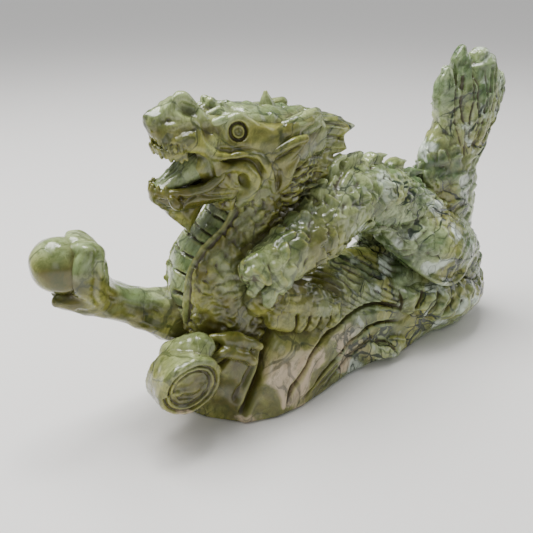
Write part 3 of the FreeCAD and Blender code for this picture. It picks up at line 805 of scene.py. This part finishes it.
def sculpt_fins():
    clay = Clay((-44, -30, 20), (122, 14, 114), COARSE)
    x, y, z = (axis[n] for axis, n in zip(clay.axes, np.nonzero(np.ones(clay.field.shape, bool))))
    s, u, v, _, a, b = BODY.locate(x, y, z)
    v = v - b
    # the x and z of each fin's tip, and the fin's length
    fins = (
        (-25.5, 85, 7), (-16.4, 89, 8), (-8, 92.6, 8), (2, 98.4, 9), (14, 106.2, 9.5), (27, 105.2, 10.4),
        (43, 101, 12), (57.6, 95.4, 11.5), (68.6, 88, 10), (77.4, 79.4, 8.5), (110, 53, 8), (115, 38, 7),
    )
    best = np.full(s.shape, FAR, np.float32)
    for tip_x, tip_z, length in fins:
        tip_y = np.interp(tip_x, BODY.line[:, 0], BODY.line[:, 1])
        tip_s, _, tip_v, _, _, below = (float(value) for value in BODY.locate(tip_x, tip_y, tip_z))
        middle = tip_s - 0.52 * length
        height = (tip_v - below + 1.6) / 1.1
        hook = [
            np.array((length * a, height * b - 1.6))
            for a, b in (
                (-0.5, -0.4), (0.40, -0.4), (0.34, 0.2), (0.26, 0.5), (0.34, 0.85), (0.54, 1.16),
                (0.2, 1.1), (-0.12, 0.98), (-0.34, 0.6), (-0.44, 0.1),
            )
        ]
        fin = polygon_distance(hook, s - middle, v)
        thick = 3.6 - 0.26 * np.clip(v, 0, 9) - np.abs(u + 0.4 * math.sin(tip_x))
        best = smooth_min(best, -smooth_min(-fin, thick, 0.7), 0.6)
    clay.field[:] = best.reshape(clay.field.shape)
    clay.roughen((0.4, 7, 27))
    clay.pale = lambda x, y, z: 0.6 * np.clip((56 - x) / 20, 0, 1)
    return clay


def sculpt_base():
    clay = Clay((-80, 0, -3), (124, 42, 66), COARSE, mirrored=True)
    stations = np.array([
        (-70, 12, 18), (-65, 20, 26), (-52, 33, 35), (-38, 37, 40), (-24, 37, 44), (-8, 33.5, 49),
        (8, 29.5, 53), (24, 28, 53.5), (40, 29, 51), (56, 30.5, 48), (72, 32, 42), (88, 33.5, 36),
        (104, 29, 30), (113, 22, 24), (118, 14, 16),
    ], float)
    x, y, z = np.ix_(*clay.axes)
    half = np.interp(x, stations[:, 0], stations[:, 1])
    top = np.interp(x, stations[:, 0], stations[:, 2])
    # under the arch the top falls away from the crest, and at the rear the foot is cut back
    top = top - fade(np.abs(y), 2, 14, 4.5) * fade(x, 10, 8) * fade(-x, -64, 10)
    half = half - fade(-z, -15, 15, 9) * fade(x, 44, 26)
    bulk = ((np.abs(y) / half) ** 3.4 + (np.abs(z) / top) ** 2.4) ** 0.34 - 1
    ends = np.maximum(stations[0, 0] - x, x - stations[-1, 0])
    solid = -smooth_min(-bulk * 26, -ends, 6)
    slope = np.sqrt(sum(g * g for g in np.gradient(solid, clay.step)))
    solid = solid / np.clip(slope, 0.4, 4)
    clay.field = (-smooth_min(-solid, z, 2.0)).astype(np.float32)
    # the leaf-shaped ridges that curl back beside the scroll
    leaves = (
        [(-61, 21, 42.6, 1.8), (-55, 24.5, 42, 2.4), (-47, 27, 39.4, 2.6), (-41.6, 28.5, 35.6, 1.6)],
        [(-64, 24, 36, 1.6), (-58, 27.5, 37.4, 2.2), (-51, 29.5, 35, 2.3), (-47, 31, 31.4, 1.4)],
    )
    for leaf in leaves:
        clay.add(strand(leaf), 1.6)
    clay.add(ball((-52, 22, 28), (11, 7, 12)), 4)
    # the wave's long sweeps, cut as deep grooves that run up and back
    sweeps = (
        [
            (-33.5, 38, 3), (-28.5, 37, 13), (-20.5, 35, 20.6), (-10, 33, 28), (4, 31, 31),
            (17, 30, 32.5), (30, 29, 31.5), (47, 29, 25),
        ],
        [(-26, 38, 3), (-9, 34, 11.5), (5.5, 32, 16.6), (17, 31, 20.3), (29, 30, 22.4), (42, 29, 19.6)],
        [(-56, 32, 34), (-61, 34, 30), (-65.4, 35, 25.7), (-68, 34, 19.7)],
        [(-24, 26, 54), (-30.7, 31, 44), (-36, 32.5, 35), (-41.6, 34, 26), (-48.6, 37, 13), (-54, 38, 3)],
    )
    for line, depth, width in zip(sweeps, (4.2, 3.4, 3.0, 6.0), (0.9, 0.8, 0.9, 1.5)):
        clay.engrave(line, depth, width, 13)
    for line, depth, width in (
        ([(-14, 37, 2), (2, 33, 8), (16, 31, 14), (28, 30, 17)], 1.4, 0.9),
        ([(-44, 34, 30), (-50, 36, 22), (-56, 37, 10)], 1.4, 1.2),
        ([(-20, 37, 4), (-8, 34, 8), (6, 33, 12)], 1.0, 0.9),
    ):
        clay.engrave(line, depth, width, 12)
    # fine strands that stream back from the paw, and sprays under the arch
    for i in range(11):
        x = -8 + 5 * i
        strand_line = [(x, 24, 44 - 0.2 * i), (x + 9, 27, 38 - 0.3 * i), (x + 22, 29.5, 33 - 0.6 * i)]
        clay.engrave(strand_line, 0.9, 0.8, 12, (0, 1, 0.6))
    for i in range(9):
        x = -2 + 6.5 * i
        clay.engrave([(x - 4, 6, 54), (x + 3, 14, 50), (x + 12, 21, 44)], 1.2, 0.9, 12, (0, 0.6, 1))
    # the back of the wave, raised under the arch
    swell = [(52, 15, 36, 9, 8), (64, 17, 33, 9, 8), (76, 18, 28, 9, 7)]
    clay.add(Limb(swell).shape(), 4)
    # small curls at the foot of each flank
    for curl in (
        [(22, 27, 10, 5), (30, 29.5, 7, 4.4), (37, 30, 5.4, 3.4)],
        [(36, 28, 10, 4.4), (42, 29.5, 8, 3.6)],
    ):
        clay.add(strand(curl), 1.2)
    clay.engrave([(26, 34, 13), (33, 35, 11), (37, 35, 6)], 1.4, 0.8, 10)

    def worn(x, y, z):
        return (0.45 * ripple(x, y, z, 15, 11) + 0.2 * ripple(x, y, z, 6, 28)) * (z > 1.5)

    clay.relief(worn, 2.5)
    return clay


SCROLL_RADIUS = 14.3


def sculpt_scroll(side):
    low, high = (np.array(corner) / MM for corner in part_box("left_scroll" if side < 0 else "right_scroll"))
    centre_x, centre_z = (low[0] + high[0]) / 2, (low[2] + high[2]) / 2
    outer_y = -low[1] if side < 0 else high[1]
    clay = side_clay(side, (low[0] - 4, 6, low[2] - 4), (high[0] + 12, outer_y + 4, high[2] + 16), FINE)
    x, y, z = np.ix_(*clay.axes)
    inward = side * y
    up, ahead = z - centre_z, x - centre_x
    away = np.sqrt(ahead**2 + (up + 0.14 * (outer_y - inward)) ** 2)
    turn = np.arctan2(up, ahead)
    # a spiral lip: its groove winds in once round the face
    groove = away - (11.8 - 0.28 * (turn + math.pi))
    lip = 1.8 * np.exp(-((groove / 0.65) ** 2)) + 1.0 * np.exp(-(((groove + 2.6) / 0.5) ** 2))
    dish = 1.2 * np.clip((11 - away) / 3, 0, 1) + 0.5 * ripple(x, y, z, 5, 29) * (away < 7)
    face = inward - outer_y + 0.8 - 0.17 * up + lip + dish
    drum = away - SCROLL_RADIUS + 0.02 * (outer_y - inward)
    disc = -smooth_min(-drum, -face, 2.6)
    clay.field[:] = np.maximum(disc, 17 - inward)
    hub = ball((centre_x + 6, side * 15, centre_z), (9, 12, 11))
    clay.field[:] = smooth_min(clay.field, hub.distance(x, y, z), 2)
    knob = [(-1, 14, 7, 4.6), (3.6, 19, 9.6, 5.8), (8.6, 23.5, 11.4, 6.2)]
    clay.add(strand([(centre_x + a, side * b, centre_z + c, r) for a, b, c, r in knob]), 0.9)
    clay.roughen((0.25, 10, 12), (0.12, 4, 32))
    # paler towards the top and the knob: partly the stone's own colour, partly painted light from above
    clay.pale = lambda x, y, z: fade(z, 35, 8, 0.5)
    return clay


def rough_scales(limb, length, width, height, seed):
    """Relief of worn scales along a limb."""
    def raised(x, y, z):
        s, u, v, _, a, b = limb.locate(x, y, z)
        around = np.arctan2(u / a, v / b) * 0.5 * (a + b) + 1.5 * ripple(x, y, z, 12, seed)
        scales = scale_height(s + 1.6 * ripple(x, y, z, 13, seed + 1), around, length, width, height)
        worn = np.clip(0.85 + 0.5 * ripple(x, y, z, 20, seed + 2), 0.1, 1.2)
        return (scales - 0.35 * height) * worn + 0.35 * ripple(x, y, z, 6, seed + 3)

    return raised


def sculpt_thigh(side):
    clay = side_clay(side, (30, 0, 8), (116, 44, 86), COARSE)
    thigh = Limb(
        flank(
            side,
            [
                (46, 10, 65, 7, 8), (56, 14, 59, 13, 14), (67, 17, 52, 16, 17), (80, 16, 47, 15, 16),
                (94, 11, 42, 13, 14),
            ],
        )
    )
    clay.add(thigh.shape())
    clay.relief(rough_scales(thigh, 5.4, 7.6, 2.4, 40), 4.5)
    # the haunch's lower edge, rolled up where the leg folds
    fold = [
        (40, 9, 61, 1.6), (45, 16, 54.5, 2.2), (53, 24, 46.5, 2.6), (62, 30, 39, 2.8),
        (72, 31, 35.6, 2.6), (81, 30, 38.6, 2.4), (89, 26, 48, 1.8),
    ]
    clay.add(strand(flank(side, fold)), 2)
    under = [(41, 14, 55), (49, 22, 46), (59, 29, 37.6), (72, 32, 32.6), (85, 30, 36)]
    clay.engrave(flank(side, under), 2.0, 1.2, 12)
    return clay


def cut_claws(clay, side, gaps, y, bow, slot, ridge, shift, reach):
    """Slots between claws, from each gap's top to its foot, and a ridge beside each, down the claw.

    Slot and ridge are each a depth and a width, and shift is the way in x and z from one to the other.
    """
    for top, foot in gaps:
        middle = ((top[0] + foot[0]) / 2 + bow, (top[1] + foot[1]) / 2)
        line = [(x, y, z) for x, z in (top, middle, foot)]
        clay.engrave(flank(side, line), *slot, reach)
        beside = [(x + shift[0], y, z + shift[1]) for x, _, z in line]
        clay.engrave(flank(side, beside), *ridge, reach)


def sculpt_hind_foot(side):
    clay = side_clay(side, (44, 8, 2), (120, 44, 44), COARSE)
    stations = [
        (44, 20, 29, 8, 8), (58, 24, 27, 10, 10), (72, 25.5, 23, 10, 12), (86, 25, 20, 10, 12),
        (99, 21, 18, 9, 11), (110, 15, 18, 7, 9),
    ]
    clay.add(Limb(flank(side, stations)).shape())
    clay.roughen((0.6, 10, 14), (0.3, 5, 34))
    gaps = (((55, 35), (49, 26)), ((64, 33), (57, 21)), ((73, 28), (65.5, 17)), ((80.5, 24.5), (75, 15)))
    cut_claws(clay, side, gaps, 34, 0.6, (3.4, 1.0), (-1.0, 1.3), (3.6, -0.5), 10)
    return clay


def sculpt_fore_paw(side):
    clay = side_clay(side, (-44, 8, 22), (10, 42, 70), FINE)
    leg = Limb(flank(side, [
        (-36, 18, 54, 8, 9), (-26, 21.4, 52, 9, 9.5), (-15, 22.6, 46, 9, 9), (-4, 23.6, 40, 8, 8),
    ]))
    clay.add(leg.shape())
    clay.relief(rough_scales(leg, 4.4, 6.4, 2.2, 50), 4)
    clay.add(Limb(flank(side, [
        (-31, 23, 43, 5, 5), (-24, 24.4, 41, 5.6, 6), (-14, 24.8, 39, 5.6, 6), (-5, 24.4, 37.5, 5, 5),
    ])).shape(), 3)
    gaps = (
        ((-23.4, 46.6), (-24.4, 35)), ((-17, 44.6), (-19.4, 33.4)),
        ((-11.4, 42.6), (-13, 32.6)), ((-5.6, 41.4), (-7, 32)),
    )
    cut_claws(clay, side, gaps, 33, 0.7, (2.4, 0.65), (-0.9, 1.2), (2.8, -1), 9)
    return clay


def sculpt_tail():
    clay = Clay((66, -26, 22), (126, 18, 152), COARSE)
    tail = Limb([
        (94, -5, 24, 15, 15), (94, -4, 46, 13, 14.5), (93, -4, 62, 12, 15), (90, -4, 76, 11, 18),
        (88, -4, 87, 10, 20), (91.5, -4, 97, 9.5, 19.5), (97, -4, 107, 9.5, 17.5),
        (99.5, -4, 118, 8.5, 19.5), (99, -4, 126, 7.5, 18.5),
    ])
    clay.add(tail.shape())
    # the flame's tongues, with deep notches between them
    for tongue in (
        [(84, -4, 112, 6), (80.6, -4, 122, 5.4), (79.4, -4, 130, 4.4), (79.6, -4, 135.4, 2.4)],
        [(90, -4, 122, 6), (88, -4, 134, 5.2), (87.2, -4, 141.6, 4), (87.4, -4, 146.2, 1.8)],
        [(102, -4, 120, 9), (103, -4, 132, 8), (102.6, -4.2, 138.6, 6.4), (101.6, -4, 141.4, 4)],
        [(112, -4, 112, 6), (115.4, -4, 121, 5.4), (115.6, -4, 128, 4.4), (114.6, -4, 132.6, 2.4)],
    ):
        clay.add(strand(tongue), 1.6)
    clay.relief(rough_scales(tail, 6.4, 8.0, 2.2, 60), 4)
    rng = np.random.default_rng(61)
    for side in (-1, 1):
        for i in range(9):
            x = 83 + 4.2 * i + rng.uniform(-0.8, 0.8)
            foot = 92 + rng.uniform(-6, 8)
            wave = rng.uniform(-1.6, 1.6)
            hair = [
                (94 + 0.35 * (x - 98), 0, foot), (x + wave, 0, foot + 14), (x - wave, 0, 122),
                (x - 1, 0, 140),
            ]
            hair = [(a, -4 + 9 * side, c) for a, _, c in hair]
            clay.engrave(hair, 1.3, 0.9, 12)
    # paler towards the flame at the top: partly the stone's own colour, partly painted light from above
    clay.pale = lambda x, y, z: fade(z, 100, 14, 0.45)
    return clay


# Mesh and material

def build(name, clay, union, union_low, replaced, material):
    """Meshes a block as a named piece that stands for CAD nodes."""
    field, low = clay.whole()
    grid = openvdb.FloatGrid(FAR)
    grid.copyFromArray(np.ascontiguousarray(np.pad(field, 1, constant_values=FAR)))
    points, quads = grid.convertToQuads(0.0)
    points = (points - 1) * clay.step + np.array(low)
    points, quads = without_crumbs(points, quads)
    near = blurred(np.clip(field, -FINE_REACH, FINE_REACH), max(1, round(FINE_BLUR / clay.step)))
    fine = sample(near, low, clay.step, points)
    broad = sample(union, union_low, LATTICE, points)
    mesh = bpy.data.meshes.new(name)
    mesh.vertices.add(len(points))
    mesh.vertices.foreach_set("co", (points * MM).astype(np.float32).ravel())
    mesh.loops.add(4 * len(quads))
    mesh.loops.foreach_set("vertex_index", quads[:, ::-1].astype(np.int32).ravel())
    mesh.polygons.add(len(quads))
    mesh.polygons.foreach_set("loop_start", np.arange(0, 4 * len(quads), 4, dtype=np.int32))
    mesh.polygons.foreach_set("use_smooth", np.ones(len(quads), bool))
    mesh.update(calc_edges=True)
    pale = clay.pale(*points.T) + np.zeros(len(points))
    for label, values in (("crease", fine), ("hollow", broad), ("pale", pale)):
        layer = mesh.attributes.new(label, "FLOAT", "POINT")
        layer.data.foreach_set("value", values.astype(np.float32))
    piece = bpy.data.objects.new("jade_" + name, mesh)
    bpy.context.scene.collection.objects.link(piece)
    thin_out(piece)
    piece.data.materials.append(material)
    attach(piece, "root")
    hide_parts(*replaced)
    return piece


def thin_out(piece):
    """Merges the faces where the stone is nearly flat."""
    thinner = piece.modifiers.new("thinner", "DECIMATE")
    thinner.ratio = KEPT_SHARE
    shown = piece.evaluated_get(bpy.context.evaluated_depsgraph_get())
    mesh = bpy.data.meshes.new_from_object(shown)
    piece.modifiers.clear()
    piece.data = mesh


def without_crumbs(points, quads, least=0.02):
    """Drops loose bits that hold under that share of the points."""
    label = np.arange(len(points))
    while True:
        lowest = label[quads].min(1)
        new = label.copy()
        for corner in range(4):
            np.minimum.at(new, quads[:, corner], lowest)
        new = new[new]
        if (new == label).all():
            break
        label = new
    sizes = np.bincount(label, minlength=len(points))
    kept = sizes[label] > least * len(points)
    place = np.cumsum(kept) - 1
    quads = quads[kept[quads[:, 0]]]
    return points[kept], place[quads]


def union_field(clays):
    """The least distance of all blocks on the common lattice, blurred to tell hollows from heights."""
    low = np.floor(np.array(cad_box[0]) / MM / LATTICE) * LATTICE - 4 * LATTICE
    high = np.array(cad_box[1]) / MM + 5 * LATTICE
    union = np.full(np.ceil((high - low) / LATTICE).astype(int) + 1, BROAD_REACH, np.float32)
    for clay in clays:
        field, corner = clay.whole()
        skip = round(LATTICE / clay.step)
        start = np.round((np.array(corner) - low) / LATTICE).astype(int)
        first = np.round((start * LATTICE + low - np.array(corner)) / clay.step).astype(int)
        shift = np.where(first < 0, 1, 0)
        start, first = start + shift, first + shift * skip
        part = field[first[0] :: skip, first[1] :: skip, first[2] :: skip]
        begin = np.maximum(-start, 0)
        part = part[begin[0] :, begin[1] :, begin[2] :]
        start = np.maximum(start, 0)
        room = tuple(slice(s, min(s + n, total)) for s, n, total in zip(start, part.shape, union.shape))
        part = part[tuple(slice(0, r.stop - r.start) for r in room)]
        union[room] = np.minimum(union[room], part)
    return blurred(np.clip(union, -BROAD_REACH, BROAD_REACH), 2), low


class Nodes:
    """Short names for making a material's nodes; sizes are in mm."""

    def __init__(self, name):
        self.material = bpy.data.materials.new(name)
        self.material.use_nodes = True
        self.tree = self.material.node_tree
        self.shader = self.tree.nodes["Principled BSDF"]

    def add(self, kind, inputs, **settings):
        node = self.tree.nodes.new(kind)
        for name, value in settings.items():
            setattr(node, name, value)
        for key, value in inputs.items():
            if isinstance(value, bpy.types.NodeSocket):
                self.tree.links.new(value, node.inputs[key])
            else:
                node.inputs[key].default_value = value
        return node

    def math(self, operation, a, b=0.0, c=0.0):
        return self.add("ShaderNodeMath", {0: a, 1: b, 2: c}, operation=operation).outputs[0]

    def times(self, a, b):
        return self.math("MULTIPLY", a, b)

    def ramp(self, value, low, high, start=0.0, end=1.0):
        """A smooth step from start to end while the value goes from low to high."""
        inputs = {0: value, 1: low, 2: high, 3: start, 4: end}
        return self.add("ShaderNodeMapRange", inputs, interpolation_type="SMOOTHSTEP").outputs[0]

    def mix(self, factor, a, b, blend="MIX"):
        """Sockets 6 and 7 are the two colours, and output 2 is the colour."""
        node = self.add("ShaderNodeMix", {0: factor}, data_type="RGBA", blend_type=blend)
        for index, value in ((6, a), (7, b)):
            if isinstance(value, bpy.types.NodeSocket):
                self.tree.links.new(value, node.inputs[index])
            else:
                node.inputs[index].default_value = (*value, 1)
        return node.outputs[2]

    def noise(self, place, size, detail, roughness=0.55):
        inputs = {"Vector": place, "Scale": 1000 / size, "Detail": detail, "Roughness": roughness}
        return self.add("ShaderNodeTexNoise", inputs)

    def veins(self, place, size, width, soft):
        """1 on the borders of warped cells and 0 beyond width and soft (mm); width may be a socket."""
        inputs = {"Vector": place, "Scale": 1000 / size}
        cells = self.add("ShaderNodeTexVoronoi", inputs, feature="DISTANCE_TO_EDGE")
        gap = self.times(cells.outputs["Distance"], size)
        return self.ramp(self.math("SUBTRACT", gap, width), 0.0, soft, 1.0, 0.0)

    def grey(self, *kind):
        """A noise's value, from 0 to 1."""
        return self.noise(*kind).outputs["Fac"]

    def shifted(self, place, size, amount):
        """The place moved by a noise of that size, by up to that amount (mm)."""
        drift = self.noise(place, size, 3).outputs["Color"]
        centred = self.add("ShaderNodeVectorMath", {0: drift, 1: (0.5, 0.5, 0.5)}, operation="SUBTRACT")
        inputs = {0: centred.outputs[0], 1: (2 * amount * MM,) * 3, 2: place}
        return self.add("ShaderNodeVectorMath", inputs, operation="MULTIPLY_ADD").outputs[0]

    def stretched(self, place, degrees, share):
        """The place turned, and its upward part shrunk, so that a pattern is long that way."""
        turn = [math.radians(a) for a in degrees]
        inputs = {0: place, "Rotation": turn}
        turned = self.add("ShaderNodeMapping", inputs).outputs[0]
        inputs = {0: turned, 1: (1, 1, share)}
        return self.add("ShaderNodeVectorMath", inputs, operation="MULTIPLY").outputs[0]

    def attribute(self, name):
        return self.add("ShaderNodeAttribute", {}, attribute_name=name).outputs["Fac"]


OLIVE = (0.125, 0.108, 0.016)
STRAW = (0.36, 0.36, 0.085)
MOSS = (0.062, 0.082, 0.013)
SEA = (0.070, 0.140, 0.048)
PALE = (0.44, 0.54, 0.28)
MIST = (0.20, 0.30, 0.125)
WHITE = (0.68, 0.76, 0.64)
CREAM = (0.58, 0.46, 0.30)
SHADE_BROWN = (0.055, 0.042, 0.012)
INK = (0.008, 0.020, 0.009)

SHADER = {
    "IOR": 1.57,
    "Coat Weight": 0.15,
    "Coat Roughness": 0.05,
    "Subsurface Weight": 0.08,
    "Subsurface Radius": (0.8, 1.0, 0.5),
    "Subsurface Scale": 0.002,
}


def jade():
    """Polished green jade: clouded olive and sea green, dark veins, painted shade in the hollows and cuts,
    lighter edges, and painted light on some upper faces.
    """
    n = Nodes("jade")
    place = n.add("ShaderNodeTexCoord", {}).outputs["Object"]
    axes = n.add("ShaderNodeSeparateXYZ", {0: place})
    x, z = axes.outputs["X"], axes.outputs["Z"]
    flow = n.shifted(place, 30, 9)
    drift = n.shifted(flow, 6, 1.6)
    # veins run up the arch and along the base, so their cells are stretched those ways
    up = n.stretched(drift, (0, -30, 0), 0.4)
    level = n.stretched(drift, (0, 72, 0), 0.4)
    crease, hollow = n.attribute("crease"), n.attribute("hollow")
    wide = n.grey(flow, 42, 3)
    cloud = n.grey(drift, 19, 6, 0.6)
    speck = n.grey(drift, 6.5, 8, 0.68)

    # the stone turns from olive at the front to sea green at the rear, with a ragged border
    rear = n.ramp(n.math("MULTIPLY_ADD", wide, 0.12, x), 0.035, 0.10)
    front = n.mix(n.ramp(cloud, 0.36, 0.66), OLIVE, STRAW)
    back = n.mix(n.ramp(cloud, 0.32, 0.58), SEA, n.mix(n.ramp(wide, 0.42, 0.6), PALE, STRAW))
    colour = n.mix(rear, front, back)
    colour = n.mix(n.ramp(speck, 0.35, 0.62, 0.6, 0.0), colour, MOSS)
    # pale clouds, and whiter blotches at the rear
    pale = n.ramp(n.grey(drift, 24, 5, 0.5), 0.54, 0.7, 0.0, 0.7)
    colour = n.mix(n.times(pale, n.ramp(rear, 0, 1, 0.5, 1.0)), colour, PALE)
    blotch = n.ramp(n.grey(drift, 12, 4, 0.45), 0.56, 0.66)
    colour = n.mix(n.times(blotch, rear), colour, WHITE)
    # cream patches in the front of the base
    low = n.times(n.ramp(z, 0.022, 0.034, 1, 0), n.ramp(x, 0.0, 0.03, 1, 0))
    patch = n.ramp(n.grey(drift, 21, 3, 0.4), 0.5, 0.56)
    colour = n.mix(n.times(patch, low), colour, CREAM)
    # the pale attribute lifts the colour: the stone's paler parts, and painted light on some upper faces
    tint = n.times(n.attribute("pale"), n.ramp(speck, 0.3, 0.6, 0.5, 1.0))
    colour = n.mix(tint, colour, n.mix(n.ramp(cloud, 0.38, 0.62), MIST, PALE))
    # fine fibres
    fibre = n.grey(up, 2.6, 5, 0.7)
    colour = n.mix(n.ramp(fibre, 0.34, 0.54, 0.55, 0.0), colour, MOSS)
    # dark veins: long ones, a finer net that thickens towards the rear, and smoke beside them
    thick = n.ramp(n.grey(place, 20, 2), 0.36, 0.66, -0.35, 0.35)
    strength = n.math("MULTIPLY_ADD", rear, 0.35, 0.25)
    long_veins = n.math("MAXIMUM", n.veins(up, 15, thick, 0.4), n.veins(level, 19, thick, 0.4))
    net = n.times(n.veins(up, 8, n.times(thick, 0.4), 0.3), strength)
    smoke = n.math("MAXIMUM", n.veins(up, 15, 0.0, 2.2), n.veins(level, 19, 0.0, 2.0))
    smoke = n.times(smoke, n.ramp(cloud, 0.40, 0.60, 0.65, 0.0))
    colour = n.mix(n.times(smoke, strength), colour, INK)
    dark = n.times(n.math("MAXIMUM", long_veins, net), n.ramp(rear, 0, 1, 0.55, 0.92))
    colour = n.mix(dark, colour, INK)
    # painted shade: brown in the broad hollows, stronger at the front, and dark in the cuts; and a lighter
    # colour on the sharp edges
    # painted shade in the broad hollows, mottled by the specks
    hollow_shade = n.times(n.ramp(hollow, -1.0, 0.35, 1, 0), n.ramp(speck, 0.4, 0.6, 0.35, 0.9))
    colour = n.mix(n.times(hollow_shade, n.ramp(rear, 0, 1, 0.85, 0.45)), colour, SHADE_BROWN)
    # painted shade in the cuts and creases, from the crease measure
    colour = n.mix(n.ramp(crease, -0.55, -0.08, 0.9, 0.0), colour, SHADE_BROWN)
    colour = n.mix(n.ramp(crease, 0.1, 0.6, 0.0, 0.5), colour, n.mix(rear, STRAW, PALE))
    n.tree.links.new(colour, n.shader.inputs["Base Color"])

    # a high polish, duller in the cuts
    gloss = n.math("ADD", n.ramp(speck, 0.3, 0.7, 0.09, 0.18), n.ramp(crease, -0.5, 0.0, 0.3, 0.0))
    n.tree.links.new(gloss, n.shader.inputs["Roughness"])
    for name, value in SHADER.items():
        n.shader.inputs[name].default_value = value
    grain = n.math("MULTIPLY_ADD", n.grey(place, 1.6, 3), 0.35, speck)
    grain = n.math("SUBTRACT", grain, n.times(long_veins, 0.5))
    bump = n.add("ShaderNodeBump", {"Strength": 0.35, "Distance": 0.0004, "Height": grain})
    n.tree.links.new(bump.outputs[0], n.shader.inputs["Normal"])
    return n.material


AZIMUTH, PITCH, DISTANCE = -32, 27, 280  # of the camera, in degrees and mm
TARGET = (-20.5, 0, 56)
HALF_FIELD, SENSOR = 24, 36  # half the field of view in degrees, and the sensor in mm
LAMP_TARGET = (0, 0, 0.06)  # in metres, as the lamps' places are


def camera_and_light():
    scene = bpy.context.scene
    camera = bpy.data.objects.new("camera", bpy.data.cameras.new("camera"))
    scene.collection.objects.link(camera)
    camera.data.sensor_width = SENSOR
    camera.data.lens = SENSOR / 2 / math.tan(math.radians(HALF_FIELD))
    azimuth, pitch = math.radians(AZIMUTH), math.radians(PITCH)
    back = Vector(
        (math.sin(azimuth) * math.cos(pitch), -math.cos(azimuth) * math.cos(pitch), math.sin(pitch))
    )
    camera.location = Vector(TARGET) * MM + back * (DISTANCE * MM)
    camera.rotation_euler = (-back).to_track_quat("-Z", "Y").to_euler()
    camera.data.clip_start = 0.01
    scene.camera = camera

    bpy.ops.mesh.primitive_plane_add(size=40, location=(0, 0, cad_box[0][2]))
    floor = bpy.context.object
    floor.name = "floor"
    paper = bpy.data.materials.new("floor")
    paper.use_nodes = True
    shader = paper.node_tree.nodes["Principled BSDF"]
    shader.inputs["Base Color"].default_value = (0.82, 0.80, 0.77, 1)
    shader.inputs["Roughness"].default_value = 0.6
    floor.data.materials.append(paper)

    world = bpy.data.worlds.new("studio")
    world.use_nodes = True
    sky = world.node_tree.nodes["Background"]
    sky.inputs["Color"].default_value = (0.93, 0.96, 1, 1)
    sky.inputs["Strength"].default_value = 0.32
    scene.world = world
    lamps = (
        ("day", "SUN", (-0.3, 0.3, 1.2), 1.3),
        ("key", "AREA", (-0.2, 0.28, 0.8), 9),
        ("fill", "AREA", (-0.55, -0.75, 0.45), 0.8),
        ("side", "AREA", (0.75, -0.15, 0.5), 1.5),
        ("glint", "AREA", (0.1, 0.1, 0.9), 2.5),
    )
    for name, kind, place, power in lamps:
        light = bpy.data.lights.new(name, kind)
        light.energy = power
        if kind == "SUN":
            light.angle = math.radians(50)
        else:
            light.size = 0.15 if name == "glint" else 0.5
        lamp = bpy.data.objects.new(name, light)
        lamp.location = place
        lamp.rotation_euler = (Vector(LAMP_TARGET) - Vector(place)).to_track_quat("-Z", "Y").to_euler()
        scene.collection.objects.link(lamp)


def on_flank(side, name, sculpt, *replaced):
    """A piece on the left (-1) or right (1) flank, with the nodes that it replaces there."""
    flank_name = "left_" if side < 0 else "right_"
    return flank_name + name, lambda: sculpt(side), [flank_name + node for node in replaced]


def on_both(*piece):
    return [on_flank(side, *piece) for side in (-1, 1)]


HEAD_NODES = ["skull", "snout", "nostrils", "cheek_scrolls", "eyes", "left_lip_cord", "right_lip_cord"]
BASE_NODES = [f"wave_base_{length}" for length in ("front", "middle", "rear")]
BASE_NODES += ["base_curl", "cloud_ridges", "body_under"]
PIECES = [
    ("pearl", sculpt_pearl, ["pearl"]),
    ("right_arm", sculpt_arm, ["right_forearm", "right_hand", "fingers"]),
    ("neck_and_chest", sculpt_neck, ["neck", "chest", "belly_plates"]),
    ("head", sculpt_head, HEAD_NODES),
    ("upper_teeth", sculpt_teeth, ["upper_teeth"]),
    ("brow_crest", sculpt_crest, ["brow_crest"]),
    ("crest_horn", sculpt_crest_horn, ["crest_horn"]),
    *on_both("horn", sculpt_horn, "horn"),
    *on_both("ear", sculpt_ear, "ear"),
    ("lower_jaw", sculpt_jaw, ["lower_jaw", "lower_tusks", "beard"]),
    ("tongue", sculpt_tongue, ["tongue"]),
    ("mane", sculpt_mane, ["mane", "mane_locks"]),
    ("body", sculpt_body, ["body_front", "body_arch", "body_rear", "shoulder_claws"]),
    ("dorsal_fins", sculpt_fins, ["dorsal_fins"]),
    ("wave_base", sculpt_base, BASE_NODES),
    *on_both("scroll", sculpt_scroll, "scroll", "scroll_knob"),
    *on_both("thigh", sculpt_thigh, "thigh"),
    *on_both("hind_foot", sculpt_hind_foot, "hind_foot", "hind_claws"),
    on_flank(-1, "fore_paw", sculpt_fore_paw, "fore_paw", "fore_claws"),
    ("tail", sculpt_tail, ["tail_stem", "tail_flame", "tail_prongs"]),
]

camera_and_light()
stone = jade()
blocks = {}
for name, sculpt, _ in PIECES:
    blocks[name] = sculpt()
union, union_low = union_field(blocks.values())
for name, _, replaced in PIECES:
    build(name, blocks[name], union, union_low, replaced, stone)
